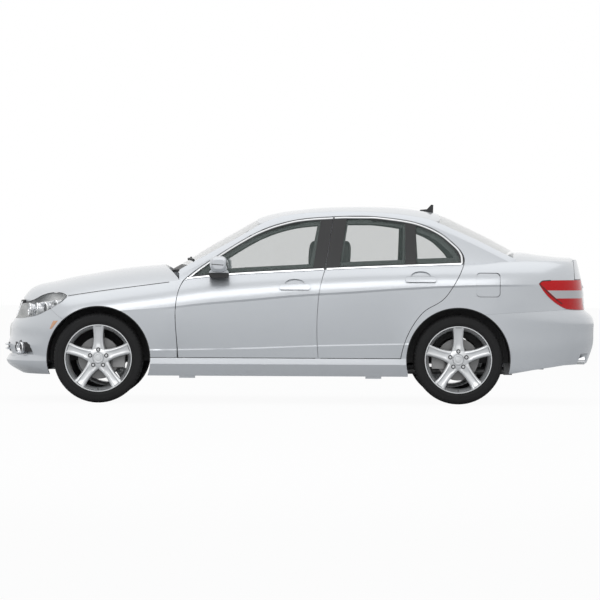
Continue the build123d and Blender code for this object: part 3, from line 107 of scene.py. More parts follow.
def own_place(tree):
    """Node with the X, Y and Z of the object's own coordinates."""
    place = tree.nodes.new("ShaderNodeTexCoord")
    split = tree.nodes.new("ShaderNodeSeparateXYZ")
    feed(tree, split.inputs["Vector"], place.outputs["Object"])
    return split


def new_group(name, inputs, outputs):
    """Empty shader group with float inputs and outputs."""
    group = bpy.data.node_groups.new(name, "ShaderNodeTree")
    for label, value in inputs:
        socket = group.interface.new_socket(label, in_out="INPUT", socket_type="NodeSocketFloat")
        socket.default_value = value
    for label in outputs:
        group.interface.new_socket(label, in_out="OUTPUT", socket_type="NodeSocketFloat")
    return group, group.nodes.new("NodeGroupInput"), group.nodes.new("NodeGroupOutput")


def make_grain():
    """Broad clouding for colour and roughness, and fine relief."""
    group, given, out = new_group(
        "surface_grain",
        [("Broad Scale", 3.0), ("Fine Scale", 400.0), ("Smooth", 0.3), ("Rough", 0.4)],
        ["Tone", "Roughness", "Height"],
    )
    place = group.nodes.new("ShaderNodeTexCoord")
    noises = []
    for scale, detail in (("Broad Scale", 3.0), ("Fine Scale", 2.0)):
        noise = group.nodes.new("ShaderNodeTexNoise")
        feed(group, noise.inputs["Vector"], place.outputs["Object"])
        feed(group, noise.inputs["Scale"], given.outputs[scale])
        feed(group, noise.inputs["Detail"], detail)
        noises.append(noise.outputs["Fac"])
    broad, fine = noises
    level = group.nodes.new("ShaderNodeMapRange")
    for label, value in (
        ("Value", broad), ("From Min", 0.1), ("From Max", 0.9),
        ("To Min", given.outputs["Smooth"]), ("To Max", given.outputs["Rough"]),
    ):
        feed(group, level.inputs[label], value)
    feed(group, out.inputs["Tone"], broad)
    feed(group, out.inputs["Roughness"], level.outputs["Result"])
    feed(group, out.inputs["Height"], fine)
    return group


def make_height_mask():
    """One above a line z = a + b x + c x x of the object's own coordinates, zero below it."""
    group, given, out = new_group("above_line", [("A", 0.0), ("B", 0.0), ("C", 0.0)], ["Mask"])
    spot = own_place(group).outputs
    slope = math_step(group, "MULTIPLY_ADD", spot["X"], given.outputs["C"], given.outputs["B"])
    line = math_step(group, "MULTIPLY_ADD", spot["X"], slope, given.outputs["A"])
    feed(group, out.inputs["Mask"], math_step(group, "GREATER_THAN", spot["Z"], line))
    return group


GRAIN = make_grain()
ABOVE_LINE = make_height_mask()


def shade(color, factor):
    """Colour made lighter or darker, with alpha."""
    return tuple(min(1.0, c * factor) for c in color) + (1.0,)


def finish(name, color, smooth=0.3, rough=0.4, broad=3.0, fine=400.0, tone=0.05, relief=0.0005, sockets=None):
    """Material whose colour, roughness and relief follow the shared grain."""
    material = bpy.data.materials.new(name)
    material.use_nodes = True
    tree = material.node_tree
    shader = tree.nodes["Principled BSDF"]
    grain = tree.nodes.new("ShaderNodeGroup")
    grain.node_tree = GRAIN
    for label, value in (("Broad Scale", broad), ("Fine Scale", fine), ("Smooth", smooth), ("Rough", rough)):
        feed(tree, grain.inputs[label], value)
    bump = tree.nodes.new("ShaderNodeBump")
    feed(tree, bump.inputs["Strength"], 0.35)
    feed(tree, bump.inputs["Distance"], relief)
    feed(tree, bump.inputs["Height"], grain.outputs["Height"])
    tint = mix_color(tree, grain.outputs["Tone"], shade(color, 1 - tone), shade(color, 1 + tone))
    feed(tree, shader.inputs["Base Color"], tint)
    feed(tree, shader.inputs["Roughness"], grain.outputs["Roughness"])
    feed(tree, shader.inputs["Normal"], bump.outputs["Normal"])
    for label, value in (sockets or {}).items():
        feed(tree, shader.inputs[label], value)
    return material


def color_of(material):
    """Shader input for a finish's colour, and the output that feeds it."""
    socket = material.node_tree.nodes["Principled BSDF"].inputs["Base Color"]
    return socket, socket.links[0].from_socket


def half_black(name, line, black_below):
    """Silver paint with black on one side of a line z = a + b x + c x x."""
    material = finish(name, SILVER, *PAINT_GRAIN, PAINT_SOCKETS)
    tree = material.node_tree
    shader = tree.nodes["Principled BSDF"]
    mask = tree.nodes.new("ShaderNodeGroup")
    mask.node_tree = ABOVE_LINE
    for label, value in zip("ABC", line):
        feed(tree, mask.inputs[label], value)
    above = mask.outputs["Mask"]
    socket, silver = color_of(material)
    pair_of = (BLACK + (1.0,), silver) if black_below else (silver, BLACK + (1.0,))
    feed(tree, socket, mix_color(tree, above, *pair_of))
    for label, on_black in (("Metallic", 0.0), ("Coat Weight", BLACK_COAT)):
        on_silver = PAINT_SOCKETS[label]
        level = tree.nodes.new("ShaderNodeMapRange")
        feed(tree, level.inputs["Value"], above)
        feed(tree, level.inputs["To Min"], on_black if black_below else on_silver)
        feed(tree, level.inputs["To Max"], on_silver if black_below else on_black)
        feed(tree, shader.inputs[label], level.outputs["Result"])
    return material


def banded_lens(name, bands, sockets):
    """Lamp lens in level bands, as (lowest z, colour) from the bottom up, behind a slanted front edge."""
    material = finish(name, bands[0][1], 0.05, 0.12, 6.0, 300.0, 0.05, 0.0002, sockets)
    tree = material.node_tree
    spot = own_place(tree).outputs
    slant = math_step(tree, "MULTIPLY_ADD", spot["Z"], LENS_SLANT, spot["X"])
    inside = math_step(tree, "GREATER_THAN", slant, LENS_EDGE)
    socket, color = color_of(material)
    for height, band in bands[1:]:
        over = math_step(tree, "GREATER_THAN", spot["Z"], height)
        color = mix_color(tree, math_step(tree, "MULTIPLY", over, inside), color, band + (1.0,))
    feed(tree, socket, color)
    return material


# Finishes
LENS_SLANT = 1.15
LENS_EDGE = 2.870
BLACK_COAT = 0.1
PAINT_GRAIN = (0.29, 0.33, 2.0, 2200.0, 0.015, 0.00004)
PAINT_SOCKETS = {"Metallic": 0.55, "Coat Weight": 0.7, "Coat Roughness": 0.04}
GLOSS_SOCKETS = {"Coat Weight": 0.6, "Coat Roughness": 0.03}
MIRROR_BLACK_TOP = 0.988
paint = finish("silver_paint", SILVER, *PAINT_GRAIN, PAINT_SOCKETS)
door_paint = half_black("door_paint", BELT_CURVE, False)
mirror_paint = half_black("mirror_paint", (MIRROR_BLACK_TOP, 0.0, 0.0), True)
gloss_black = finish("gloss_black", BLACK, 0.08, 0.14, 3.0, 600.0, 0.1, 0.00003, GLOSS_SOCKETS)
black_plastic = finish("black_plastic", (0.018, 0.018, 0.019), 0.45, 0.6, 5.0, 700.0, 0.15, 0.0004)
# Near-black strips along the tail lamp outline and the hood shut line: painted shade of the gaps there
gap_shade_black = finish("gap_shade_black", (0.01, 0.01, 0.01), 0.6, 0.75, 6.0, 500.0, 0.1, 0.0003)
tyre_rubber = finish("tyre_rubber", (0.010, 0.010, 0.0105), 0.66, 0.82, 9.0, 350.0, 0.2, 0.0006,
                     {"Specular IOR Level": 0.3})
chrome = finish("chrome", (0.82, 0.83, 0.84), 0.06, 0.12, 5.0, 300.0, 0.02, 0.00003, {"Metallic": 1.0})
alloy = finish("wheel_alloy", (0.66, 0.67, 0.68), 0.28, 0.36, 8.0, 900.0, 0.03, 0.00005,
               {"Metallic": 0.7, "Coat Weight": 0.4, "Coat Roughness": 0.1})
steel = finish("steel", (0.30, 0.30, 0.30), 0.4, 0.6, 9.0, 500.0, 0.15, 0.0003, {"Metallic": 0.9})
disc_steel = finish("disc_steel", (0.20, 0.20, 0.20), 0.3, 0.45, 14.0, 800.0, 0.15, 0.0001, {"Metallic": 0.9})
cast_metal = finish("cast_metal", (0.32, 0.32, 0.33), 0.5, 0.7, 12.0, 220.0, 0.15, 0.001, {"Metallic": 0.8})
floor_paint = finish("floor_paint", (0.05, 0.05, 0.052), 0.6, 0.8, 4.0, 260.0, 0.25, 0.001)
glass = finish("window_glass", (0.17, 0.215, 0.20), 0.01, 0.03, 1.0, 40.0, 0.03, 0.00002,
               {"Alpha": 0.15, "Coat Weight": 0.5, "Coat Roughness": 0.01, "IOR": 1.5})
lamp_lens = finish("lamp_lens", (0.75, 0.78, 0.80), 0.01, 0.04, 2.0, 60.0, 0.03, 0.0001,
                   {"Alpha": 0.06, "Coat Weight": 0.5, "Coat Roughness": 0.01})
tail_lens = banded_lens("tail_lens", [(0.0, (0.50, 0.008, 0.010)), (0.806, (0.50, 0.49, 0.50)),
                                      (0.866, (0.55, 0.009, 0.012))],
                        {"Specular IOR Level": 0.2, "Alpha": 0.97})
reflector = finish("reflector", (0.66, 0.67, 0.69), 0.12, 0.25, 10.0, 120.0, 0.12, 0.0006, {"Metallic": 0.85})
lamp_grey = finish("lamp_grey", (0.50, 0.50, 0.49), 0.3, 0.5, 34.0, 120.0, 0.45, 0.0006, {"Metallic": 0.3})
amber = finish("amber_lens", (0.62, 0.34, 0.20), 0.08, 0.16, 6.0, 240.0, 0.1, 0.0006, GLOSS_SOCKETS)
leather = finish("seat_leather", (0.034, 0.033, 0.032), 0.42, 0.58, 7.0, 320.0, 0.2, 0.0012)
cabin_plastic = finish("cabin_plastic", (0.030, 0.030, 0.031), 0.5, 0.68, 6.0, 520.0, 0.15, 0.0006)
trim_cloth = finish("roof_cloth", (0.42, 0.41, 0.385), 0.85, 0.95, 5.0, 900.0, 0.06, 0.0008,
                    {"Sheen Weight": 0.2})
carpet = finish("carpet", (0.022, 0.022, 0.023), 0.9, 1.0, 8.0, 650.0, 0.3, 0.003)
plate_white = finish("plate_white", (0.72, 0.72, 0.70), 0.35, 0.45, 6.0, 200.0, 0.03, 0.0002)
radiator_metal = finish("radiator_metal", (0.06, 0.06, 0.06), 0.5, 0.65, 8.0, 700.0, 0.2, 0.002,
                        {"Metallic": 0.6})
trim_dark = finish("window_trim", (0.060, 0.068, 0.065), 0.55, 0.7, 6.0, 520.0, 0.12, 0.0004)

NODE_FINISHES = {
    "silver_paint": paint, "window_glass": glass, "lamp_lens": lamp_lens, "tail_lens": tail_lens,
    "grille_finish": black_plastic, "black_plastic": black_plastic, "steel": steel, "cast_metal": cast_metal,
    "radiator_metal": radiator_metal, "floor_paint": floor_paint, "wheel_alloy": alloy,
    "tyre_rubber": tyre_rubber, "cabin_plastic": cabin_plastic, "seat_leather": leather,
}
for node in nodes.values():
    for place in node.material_slots:
        place.material = NODE_FINISHES[place.material.name.split(".")[0]]
for name in ("front_door_left", "front_door_right", "rear_door_left", "rear_door_right"):
    nodes[name].material_slots[0].material = door_paint
for name in ("mirror_left", "mirror_right"):
    nodes[name].material_slots[0].material = mirror_paint


# Tools for making pieces
def line_through(points):
    """Smooth line without overshoot through (place, value) points."""
    xs = [p[0] for p in points]
    ys = [p[1] for p in points]
    last = len(xs) - 1
    steps = [(ys[i + 1] - ys[i]) / (xs[i + 1] - xs[i]) for i in range(last)]
    inner = [2 * a * b / (a + b) if a * b > 0 else 0.0 for a, b in zip(steps, steps[1:])]
    slopes = [steps[0]] + inner + [steps[-1]]

    def value(x):
        x = min(max(x, xs[0]), xs[-1])
        i = max(k for k in range(last) if xs[k] <= x)
        h = xs[i + 1] - xs[i]
        t = (x - xs[i]) / h
        a = (1 + 2 * t) * (1 - t) ** 2 * ys[i] + t * t * (3 - 2 * t) * ys[i + 1]
        return a + h * t * (1 - t) * ((1 - t) * slopes[i] - t * slopes[i + 1])

    return value


def along(points, count):
    """Evenly spaced 2D points on a smooth curve through the given ones."""
    lengths = [0.0]
    for a, b in zip(points, points[1:]):
        lengths.append(lengths[-1] + math.dist(a, b))
    across = line_through(list(zip(lengths, [p[0] for p in points])))
    up = line_through(list(zip(lengths, [p[1] for p in points])))
    places = [lengths[-1] * i / (count - 1) for i in range(count)]
    return [(across(s), up(s)) for s in places]


def skin_of(*names):
    """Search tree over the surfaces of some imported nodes."""
    corners, faces = [], []
    for name in names:
        mesh = nodes[name].data
        start = len(corners)
        corners += [v.co.copy() for v in mesh.vertices]
        faces += [[start + i for i in p.vertices] for p in mesh.polygons]
    return BVHTree.FromPolygons(corners, faces)


def cast(skin, start, way):
    """First point and outward normal of a skin along a ray."""
    way = Vector(way).normalized()
    spot, normal, _, _ = skin.ray_cast(Vector(start), way)
    if spot is None:
        return None, None
    return spot, -normal if normal.dot(way) > 0 else normal


def from_left(skin, x, z):
    """Point and normal of the left side at X and Z."""
    return cast(skin, (x, -1.4, z), (0, 1, 0))


def from_front(skin, y, z):
    """Point and normal seen from in front at Y and Z."""
    return cast(skin, (-3.0, y, z), (1, 0, 0))


def from_rear(skin, y, z):
    """Point and normal seen from behind at Y and Z."""
    return cast(skin, (3.0, y, z), (-1, 0, 0))


def from_top(skin, x, y):
    """Point and normal seen from above at X and Y."""
    return cast(skin, (x, y, 3.0), (0, 0, -1))


def piece(name, bm, materials, body, slot, sharp=32.0):
    """Finished object from a bmesh, riding on a body."""
    bmesh.ops.remove_doubles(bm, verts=bm.verts, dist=1e-5)
    bmesh.ops.recalc_face_normals(bm, faces=bm.faces)
    for edge in bm.edges:
        edge.smooth = not (len(edge.link_faces) == 2 and edge.calc_face_angle(0.0) > math.radians(sharp))
    for face in bm.faces:
        face.smooth = True
    mesh = bpy.data.meshes.new(name)
    bm.to_mesh(mesh)
    bm.free()
    for material in materials:
        mesh.materials.append(material)
    made = bpy.data.objects.new(name, mesh)
    bpy.context.scene.collection.objects.link(made)
    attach(made, body)
    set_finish(made, slot)
    return made


def mirrored(made, name, body):
    """Mirror image of a left piece on the right side."""
    bm = bmesh.new()
    bm.from_mesh(made.data)
    bmesh.ops.scale(bm, vec=(1, -1, 1), verts=bm.verts)
    return piece(name, bm, list(made.data.materials), body, made["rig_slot"])


def pair(made, body):
    """Names a left piece's mirror image after it and puts it on the matching body."""
    return mirrored(made, made.name.replace("left", "right"), body.replace("left", "right"))


def give_material(verts, material):
    """Puts a material number on the faces round some points."""
    for face in {f for v in verts for f in v.link_faces}:
        face.material_index = material


def shaped_grid(bm, columns, rows, place, material=0):
    """Grid whose points are put where a rule of (u, v), both 0 to 1, says."""
    made = bmesh.ops.create_grid(bm, x_segments=columns, y_segments=rows, size=0.5)
    for vert in made["verts"]:
        vert.co = place(vert.co.x + 0.5, vert.co.y + 0.5)
    give_material(made["verts"], material)
    return made["verts"]


def rod(bm, spot, tip, axis, sides, radii, length, material=0):
    """Capped rod or cone round a spot, tipped by some degrees about an axis."""
    lay = Matrix.Translation(spot) @ Matrix.Rotation(math.radians(tip), 4, axis)
    made = bmesh.ops.create_cone(bm, cap_ends=True, segments=sides, radius1=radii[0], radius2=radii[1],
                                 depth=length, matrix=lay)
    give_material(made["verts"], material)


STRIP_SECTION = [(-0.5, -0.4), (-0.5, 0.45), (-0.3, 0.9), (0.0, 1.0), (0.3, 0.9), (0.5, 0.45), (0.5, -0.4)]


def strip(bm, spots, normals, width, height, material=0):
    """Moulding of one section along points on a surface, closed at both ends."""
    count = len(spots)
    section = STRIP_SECTION + STRIP_SECTION[:1]

    def place(u, v):
        i = round(u * (count - 1))
        s, h = section[round(v * (len(section) - 1))]
        ahead = spots[min(i + 1, count - 1)] - spots[max(i - 1, 0)]
        up = normals[i].normalized()
        across = up.cross(ahead).normalized()
        return spots[i] + across * s * width + up * h * height

    verts = shaped_grid(bm, count - 1, len(section) - 1, place, material)
    bmesh.ops.remove_doubles(bm, verts=verts, dist=1e-6)
    open_edges = [e for e in bm.edges if e.is_boundary]
    bmesh.ops.holes_fill(bm, edges=open_edges, sides=len(section))


def turned(bm, profile, steps=96, material=0):
    """Closed ring or disc from (outboard, radius) points turned round the Y axis."""
    verts = [bm.verts.new((0.0, -o, r)) for o, r in profile]
    edges = [bm.edges.new(pair_of) for pair_of in zip(verts, verts[1:] + verts[:1])]
    known = set(bm.faces)
    bmesh.ops.spin(bm, geom=verts + edges, cent=(0, 0, 0), axis=(0, 1, 0), angle=2 * math.pi, steps=steps,
                   use_merge=True)
    for face in set(bm.faces) - known:
        face.material_index = material


def picked_faces(name, keep):
    """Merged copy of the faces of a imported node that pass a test."""
    bm = bmesh.new()
    bm.from_mesh(nodes[name].data)
    bmesh.ops.remove_doubles(bm, verts=bm.verts, dist=1e-5)
    bm.normal_update()
    bmesh.ops.delete(bm, geom=[f for f in bm.faces if not keep(f)], context="FACES")
    for face in bm.faces:
        face.material_index = 0
    return bm


def thin_cover(bm, stand_off, thickness):
    """Moves the points of a mesh out along their normals and makes a sheet of it."""
    for vert, way in [(v, v.normal.copy()) for v in bm.verts]:
        vert.co += way * stand_off
    bmesh.ops.solidify(bm, geom=bm.faces[:], thickness=thickness)


def lining(name, node, keep, stand_off, thickness, material, body, slot):
    """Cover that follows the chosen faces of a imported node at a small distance."""
    bm = picked_faces(node, keep)
    bm.normal_update()
    thin_cover(bm, stand_off, thickness)
    return piece(name, bm, [material], body, slot)


# Wheels and tyres
# Profiles are (outboard, radius)
HUB_FACE = 0.088
RIM_PROFILE = [(0.112, 0.254), (0.112, 0.248), (0.107, 0.2445), (0.094, 0.240), (0.078, 0.2315),
               (0.052, 0.224), (0.0, 0.2205), (-0.090, 0.224), (-0.103, 0.232), (-0.108, 0.247),
               (-0.112, 0.249), (-0.112, 0.254), (-0.105, 0.254), (-0.102, 0.2405), (0.102, 0.2405),
               (0.105, 0.254)]
HUB_PROFILE = [(-0.026, 0.0), (-0.026, 0.072), (0.050, 0.076), (0.074, 0.080), (0.084, 0.078),
               (HUB_FACE, 0.072), (HUB_FACE + 0.001, 0.045), (0.085, 0.040), (0.085, 0.0)]
CAP_PROFILE = [(0.080, 0.0), (0.080, 0.0385), (0.091, 0.0385), (0.094, 0.0365), (0.0945, 0.030),
               (0.0925, 0.027), (0.0925, 0.022), (0.0955, 0.019), (0.0965, 0.0)]
DISC_PROFILE = [(-0.052, 0.072), (-0.052, 0.158), (-0.050, 0.160), (-0.042, 0.160), (-0.041, 0.150),
                (-0.037, 0.150), (-0.036, 0.160), (-0.028, 0.160), (-0.026, 0.158), (-0.026, 0.098),
                (-0.020, 0.090), (-0.010, 0.088), (-0.008, 0.072)]
TYRE_PROFILE = [(0.1035, 0.2408), (0.1065, 0.257), (0.1110, 0.266), (0.1130, 0.276), (0.1143, 0.2765),
                (0.1143, 0.279), (0.1132, 0.2795), (0.1128, 0.296), (0.1110, 0.308), (0.1118, 0.3085),
                (0.1110, 0.312), (0.1065, 0.3205), (0.1030, 0.327), (0.0970, 0.3325), (0.0840, 0.3365)]
TYRE_INSIDE = [(-0.094, 0.262), (-0.098, 0.300), (-0.088, 0.322), (0.088, 0.322), (0.098, 0.300),
               (0.094, 0.262)]
TREAD_GROOVES = [0.062, 0.022, -0.022, -0.062]
GROOVE_HALF = 0.0045
GROOVE_DEPTH = 0.007
TREAD_RADIUS = 0.338
TREAD_PITCHES = 72
PITCH_STEPS = 4
SHOULDER_OUTBOARD = 0.063
SHOULDER_RADIUS = 0.3255
SPOKES = 5
SPOKE_FOOT = 0.040
SPOKE_LENGTH = 0.207
SPOKE_GROOVE = 0.0065
SPOKE_GROOVE_SHARE = 0.62
SPOKE_GROOVE_START, SPOKE_GROOVE_RAMP = 0.078, 0.03
SPOKE_ROLL = 0.007
SPOKE_ROLL_START = 0.8
BOLT_CIRCLE = 0.064
spoke_half_width = line_through([(SPOKE_FOOT, 0.052), (0.075, 0.044), (0.110, 0.0365), (0.160, 0.0345),
                                 (0.215, 0.038), (0.247, 0.046)])
spoke_face = line_through([(SPOKE_FOOT, 0.086), (0.100, 0.0905), (0.160, 0.094), (0.215, 0.099),
                           (0.247, 0.1095)])


def add_spoke(bm, angle):
    """One spoke with raised edges and a shallow groove, from the hub to the rim's lip."""
    def place(u, v):
        r = SPOKE_FOOT + SPOKE_LENGTH * v
        s = 2 * u - 1
        across = max(0.0, 1 - (abs(s) / SPOKE_GROOVE_SHARE) ** 4)
        outward = min(1.0, max(0.0, (r - SPOKE_GROOVE_START) / SPOKE_GROOVE_RAMP))
        groove = SPOKE_GROOVE * across * outward
        roll = SPOKE_ROLL * max(0.0, abs(s) - SPOKE_ROLL_START) / (1 - SPOKE_ROLL_START)
        return Vector((s * spoke_half_width(r), -(spoke_face(r) - groove - roll), r))

    front = shaped_grid(bm, 16, 14, place)
    faces = list({f for v in front for f in v.link_faces})
    grown = bmesh.ops.extrude_face_region(bm, geom=faces)
    back = [g for g in grown["geom"] if isinstance(g, bmesh.types.BMVert)]
    for vert in back:
        vert.co.x *= 1.12
        vert.co.y += 0.034 if vert.co.z < 0.2 else 0.020
    turn = Matrix.Rotation(angle, 3, "Y")
    bmesh.ops.rotate(bm, cent=(0, 0, 0), matrix=turn, verts=front + back)


def add_bolt(bm, angle):
    """Black disc on the hub, painted shade in place of a bolt recess, and a six-sided bolt head."""
    spot = Vector((math.sin(angle) * BOLT_CIRCLE, -HUB_FACE - 0.0035, math.cos(angle) * BOLT_CIRCLE))
    # Black disc: painted shade standing for the shaded recess round the bolt
    rod(bm, spot, 90, "X", 24, (0.0165, 0.0165), 0.004, 1)
    rod(bm, spot + Vector((0, -0.004, 0)), 90, "X", 6, (0.0085, 0.010), 0.009, 2)


def make_wheel():
    """Five-spoke cast wheel with its bolts, cap, brake disc and valve, round the Y axis."""
    bm = bmesh.new()
    turned(bm, RIM_PROFILE, 120)
    turned(bm, HUB_PROFILE, 60)
    for i in range(SPOKES):
        add_spoke(bm, 2 * math.pi * i / SPOKES)
        add_bolt(bm, 2 * math.pi * i / SPOKES)
    turned(bm, CAP_PROFILE, 48)
    turned(bm, DISC_PROFILE, 72, 3)
    rod(bm, (0.0, -0.100, -0.232), 75, "X", 12, (0.005, 0.0035), 0.030, 1)
    return bm


def make_tyre():
    """Tyre with sidewall ribs, four tread grooves and cut shoulder blocks, round the Y axis."""
    tread = []
    floor_half = 0.6 * GROOVE_HALF
    floor_radius = TREAD_RADIUS - GROOVE_DEPTH
    for groove in TREAD_GROOVES:
        tread += [(groove + GROOVE_HALF, TREAD_RADIUS), (groove + floor_half, floor_radius),
                  (groove - floor_half, floor_radius), (groove - GROOVE_HALF, TREAD_RADIUS)]
    other_wall = [(-o, r) for o, r in reversed(TYRE_PROFILE)]
    steps = PITCH_STEPS * TREAD_PITCHES
    bm = bmesh.new()
    turned(bm, TYRE_PROFILE + tread + other_wall + TYRE_INSIDE, steps)
    for vert in bm.verts:
        radius = math.hypot(vert.co.x, vert.co.z)
        step = round(math.atan2(vert.co.x, vert.co.z) / (2 * math.pi) * steps)
        on_shoulder = abs(vert.co.y) > SHOULDER_OUTBOARD and radius > SHOULDER_RADIUS
        if on_shoulder and step % PITCH_STEPS == 0:
            shrink = 1 - 0.8 * GROOVE_DEPTH / radius
            vert.co.x *= shrink
            vert.co.z *= shrink
    return bm


for end in ("front", "rear"):
    low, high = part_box(f"tyre_{end}_left")
    center = (low + high) / 2
    for kind, make, materials, slot in (
        ("wheel", make_wheel, [alloy, gloss_black, chrome, disc_steel], "wheel_alloy"),
        ("tyre", make_tyre, [tyre_rubber], "tyre_rubber"),
    ):
        bm = make()
        bmesh.ops.translate(bm, vec=center, verts=bm.verts)
        left = piece(f"{kind}_shape_{end}_left", bm, materials, f"wheel_{end}_left", slot)
        right = pair(left, f"wheel_{end}_left")
        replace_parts(left, f"{kind}_{end}_left")
        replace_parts(right, f"{kind}_{end}_right")


# Bright strips round the side windows
front_leaf = skin_of("front_door_left")
rear_leaf = skin_of("rear_door_left")
belt = line_through(BELT_POINTS)


def belt_strip(name, skin, start, end, body):
    """Bright strip on the ledge where the door panel meets the window frame."""
    spots, normals = [], []
    for i in range(41):
        x = start + (end - start) * i / 40
        spot, _ = from_left(skin, x, belt(x) - 0.003)
        spots.append(spot + Vector((0, 0.001, 0.007)))
        normals.append(Vector((0, -1, 0.25)))
    bm = bmesh.new()
    strip(bm, spots, normals, STRIP_WIDTH, STRIP_HEIGHT)
    return piece(name, bm, [chrome], body, "grille_finish")


def frame_strip(name, skin, line, body):
    """Bright strip along the top edge of a door's window frame."""
    path = along(line, 61)
    spots, normals = [], []
    for i, (x, z) in enumerate(path):
        ahead = Vector(path[min(i + 1, 60)]) - Vector(path[max(i - 1, 0)])
        inward = Vector((ahead.y, -ahead.x)).normalized()
        spot, normal = from_left(skin, x + inward.x * FRAME_INSET, z + inward.y * FRAME_INSET)
        if spot is not None:
            spots.append(spot)
            normals.append(normal)
    bm = bmesh.new()
    strip(bm, spots, normals, STRIP_WIDTH, STRIP_HEIGHT)
    return piece(name, bm, [chrome], body, "grille_finish")


window_strips = [
    belt_strip("belt_strip_front_left", front_leaf, -0.855, 0.180, "front_door_left"),
    belt_strip("belt_strip_rear_left", rear_leaf, 0.203, 1.225, "rear_door_left"),
    frame_strip("frame_strip_front_left", front_leaf, FRONT_FRAME_TOP, "front_door_left"),
    frame_strip("frame_strip_rear_left", rear_leaf, REAR_FRAME_TOP, "rear_door_left"),
]
for made, door in zip(window_strips, 2 * ["front_door_left", "rear_door_left"]):
    pair(made, door)

# Lamps: how much a face's sideways and upward lean count, and the limit of an outer face
LEAN_SHARE = 0.7
UP_SHARE = 0.6
OUT_LIMIT = 0.35
LENS_THICKNESS = 0.003


def faces_out(face, lengthwise):
    """True for a face of a lamp that looks out of the body, to one end and to its own side."""
    side = -1 if face.calc_center_median().y < 0 else 1
    lean = lengthwise * face.normal.x * LEAN_SHARE + side * face.normal.y * LEAN_SHARE
    return lean + UP_SHARE * face.normal.z > OUT_LIMIT


def lamp_shell(name, node, lengthwise, material, slot):
    """Thin lens in place of a packed lamp block."""
    bm = picked_faces(node, lambda f: faces_out(f, lengthwise))
    bmesh.ops.recalc_face_normals(bm, faces=bm.faces)
    bmesh.ops.solidify(bm, geom=bm.faces[:], thickness=LENS_THICKNESS)
    return piece(name, bm, [material], "body", slot)


def lamp_bowl(name, node, lengthwise, material, slot):
    """Housing behind a lens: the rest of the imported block's faces, seen from in front."""
    bm = picked_faces(node, lambda f: not faces_out(f, lengthwise))
    thin_cover(bm, -0.0005, 0.001)
    return piece(name, bm, [material], "body", slot)


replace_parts(lamp_shell("headlamp_lens", "headlamps", -1, lamp_lens, "lamp_lens"), "headlamps")
lamp_bowl("headlamp_bowl", "headlamps", -1, lamp_grey, "lamp_lens")
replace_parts(lamp_shell("tail_lamp_lens", "tail_lamps", 1, tail_lens, "tail_lens"), "tail_lamps")
lamp_bowl("tail_lamp_bowl", "tail_lamps", 1, reflector, "lamp_lens")

# Lines and raised pads on the body
PAD_ROLL = 0.12
PAD_SINK = 0.0004


def level_path(half_width, z):
    """Level line across the car's middle, as (y, z)."""
    return [(i / 20 * half_width, z) for i in range(-20, 21)]


def level_panel(half_width, bottom, top):
    """Corners of a panel across the car's middle, as (y, z)."""
    return [(-half_width, bottom), (half_width, bottom), (half_width, top), (-half_width, top)]


def surface_strip(name, look, skin, path, width, height, material, body, slot):
    """Strip along a path on a surface, seen from one side by the given look."""
    spots, normals = [], []
    for a, b in path:
        spot, normal = look(skin, a, b)
        if spot is not None:
            spots.append(spot)
            normals.append(normal)
    bm = bmesh.new()
    strip(bm, spots, normals, width, height)
    return piece(name, bm, [material], body, slot)


def patch(name, look, skin, corners, lift, material, body, slot):
    """Raised pad with rolled edges between four corners on a surface."""
    first, second, third, fourth = [Vector(c) for c in corners]
    middle = (first + second + third + fourth) / 4

    def place(u, v):
        flat = first.lerp(second, u).lerp(fourth.lerp(third, u), v)
        spot, normal = look(skin, flat.x, flat.y)
        if spot is None:
            spot, normal = look(skin, middle.x, middle.y)
        rim = min(u, 1 - u, v, 1 - v)
        return spot + normal * (lift * min(1.0, rim / PAD_ROLL) ** 0.5 - PAD_SINK)

    bm = bmesh.new()
    shaped_grid(bm, 24, 12, place)
    bmesh.ops.solidify(bm, geom=bm.faces[:], thickness=0.001)
    return piece(name, bm, [material], body, slot)


def join(bm, other):
    """Adds a second bmesh to the first."""
    mesh = bpy.data.meshes.new("joined")
    other.to_mesh(mesh)
    other.free()
    bm.from_mesh(mesh)
    bpy.data.meshes.remove(mesh)


def set_down(bm, part, turn, spot):
    """Turns a part made round the origin, moves it to its spot and adds it to a piece."""
    bmesh.ops.rotate(part, cent=(0, 0, 0), matrix=turn, verts=part.verts)
    bmesh.ops.translate(part, vec=spot, verts=part.verts)
    join(bm, part)


# Sewn channels and side bolsters of a pad; places across it run from -1 to 1
SEAM_DEPTH = 0.010
SEAM_WIDTH = 0.045
BOLSTER_START = 0.62
BOLSTER_WIDTH = 0.22
BOLSTER_END = 0.9


def cushion(bm, center, half, lengthwise, seams, power=4.5, bolster=0.0, material=0, cuts=27):
    """Crowned closed pad with sewn channels; its length lies in the XZ plane."""
    pad = bmesh.new()
    bmesh.ops.create_cube(pad, size=2.0)
    bmesh.ops.subdivide_edges(pad, edges=pad.edges[:], cuts=cuts, use_grid_fill=True)
    run = Vector((lengthwise[0], 0, lengthwise[1])).normalized()
    rise = Vector((-run.z, 0, run.x))
    for vert in pad.verts:
        spot = vert.co * sum(abs(c) ** power for c in vert.co) ** (-1 / power)
        lift = 0.0
        if spot.z > 0.2:
            sewn = [math.exp(-(((spot[axis] - at) / SEAM_WIDTH) ** 2)) for axis, at in seams]
            lift = -SEAM_DEPTH * sum(sewn)
            edge = min(1.0, max(0.0, (abs(spot.y) - BOLSTER_START) / BOLSTER_WIDTH))
            lift += bolster * edge * (1 - 6 * max(0.0, abs(spot.y) - BOLSTER_END))
        across = Vector((0, spot.y * half[1], 0))
        vert.co = Vector(center) + run * spot.x * half[0] + across + rise * (spot.z * half[2] + lift)
    for face in pad.faces:
        face.material_index = material
    join(bm, pad)


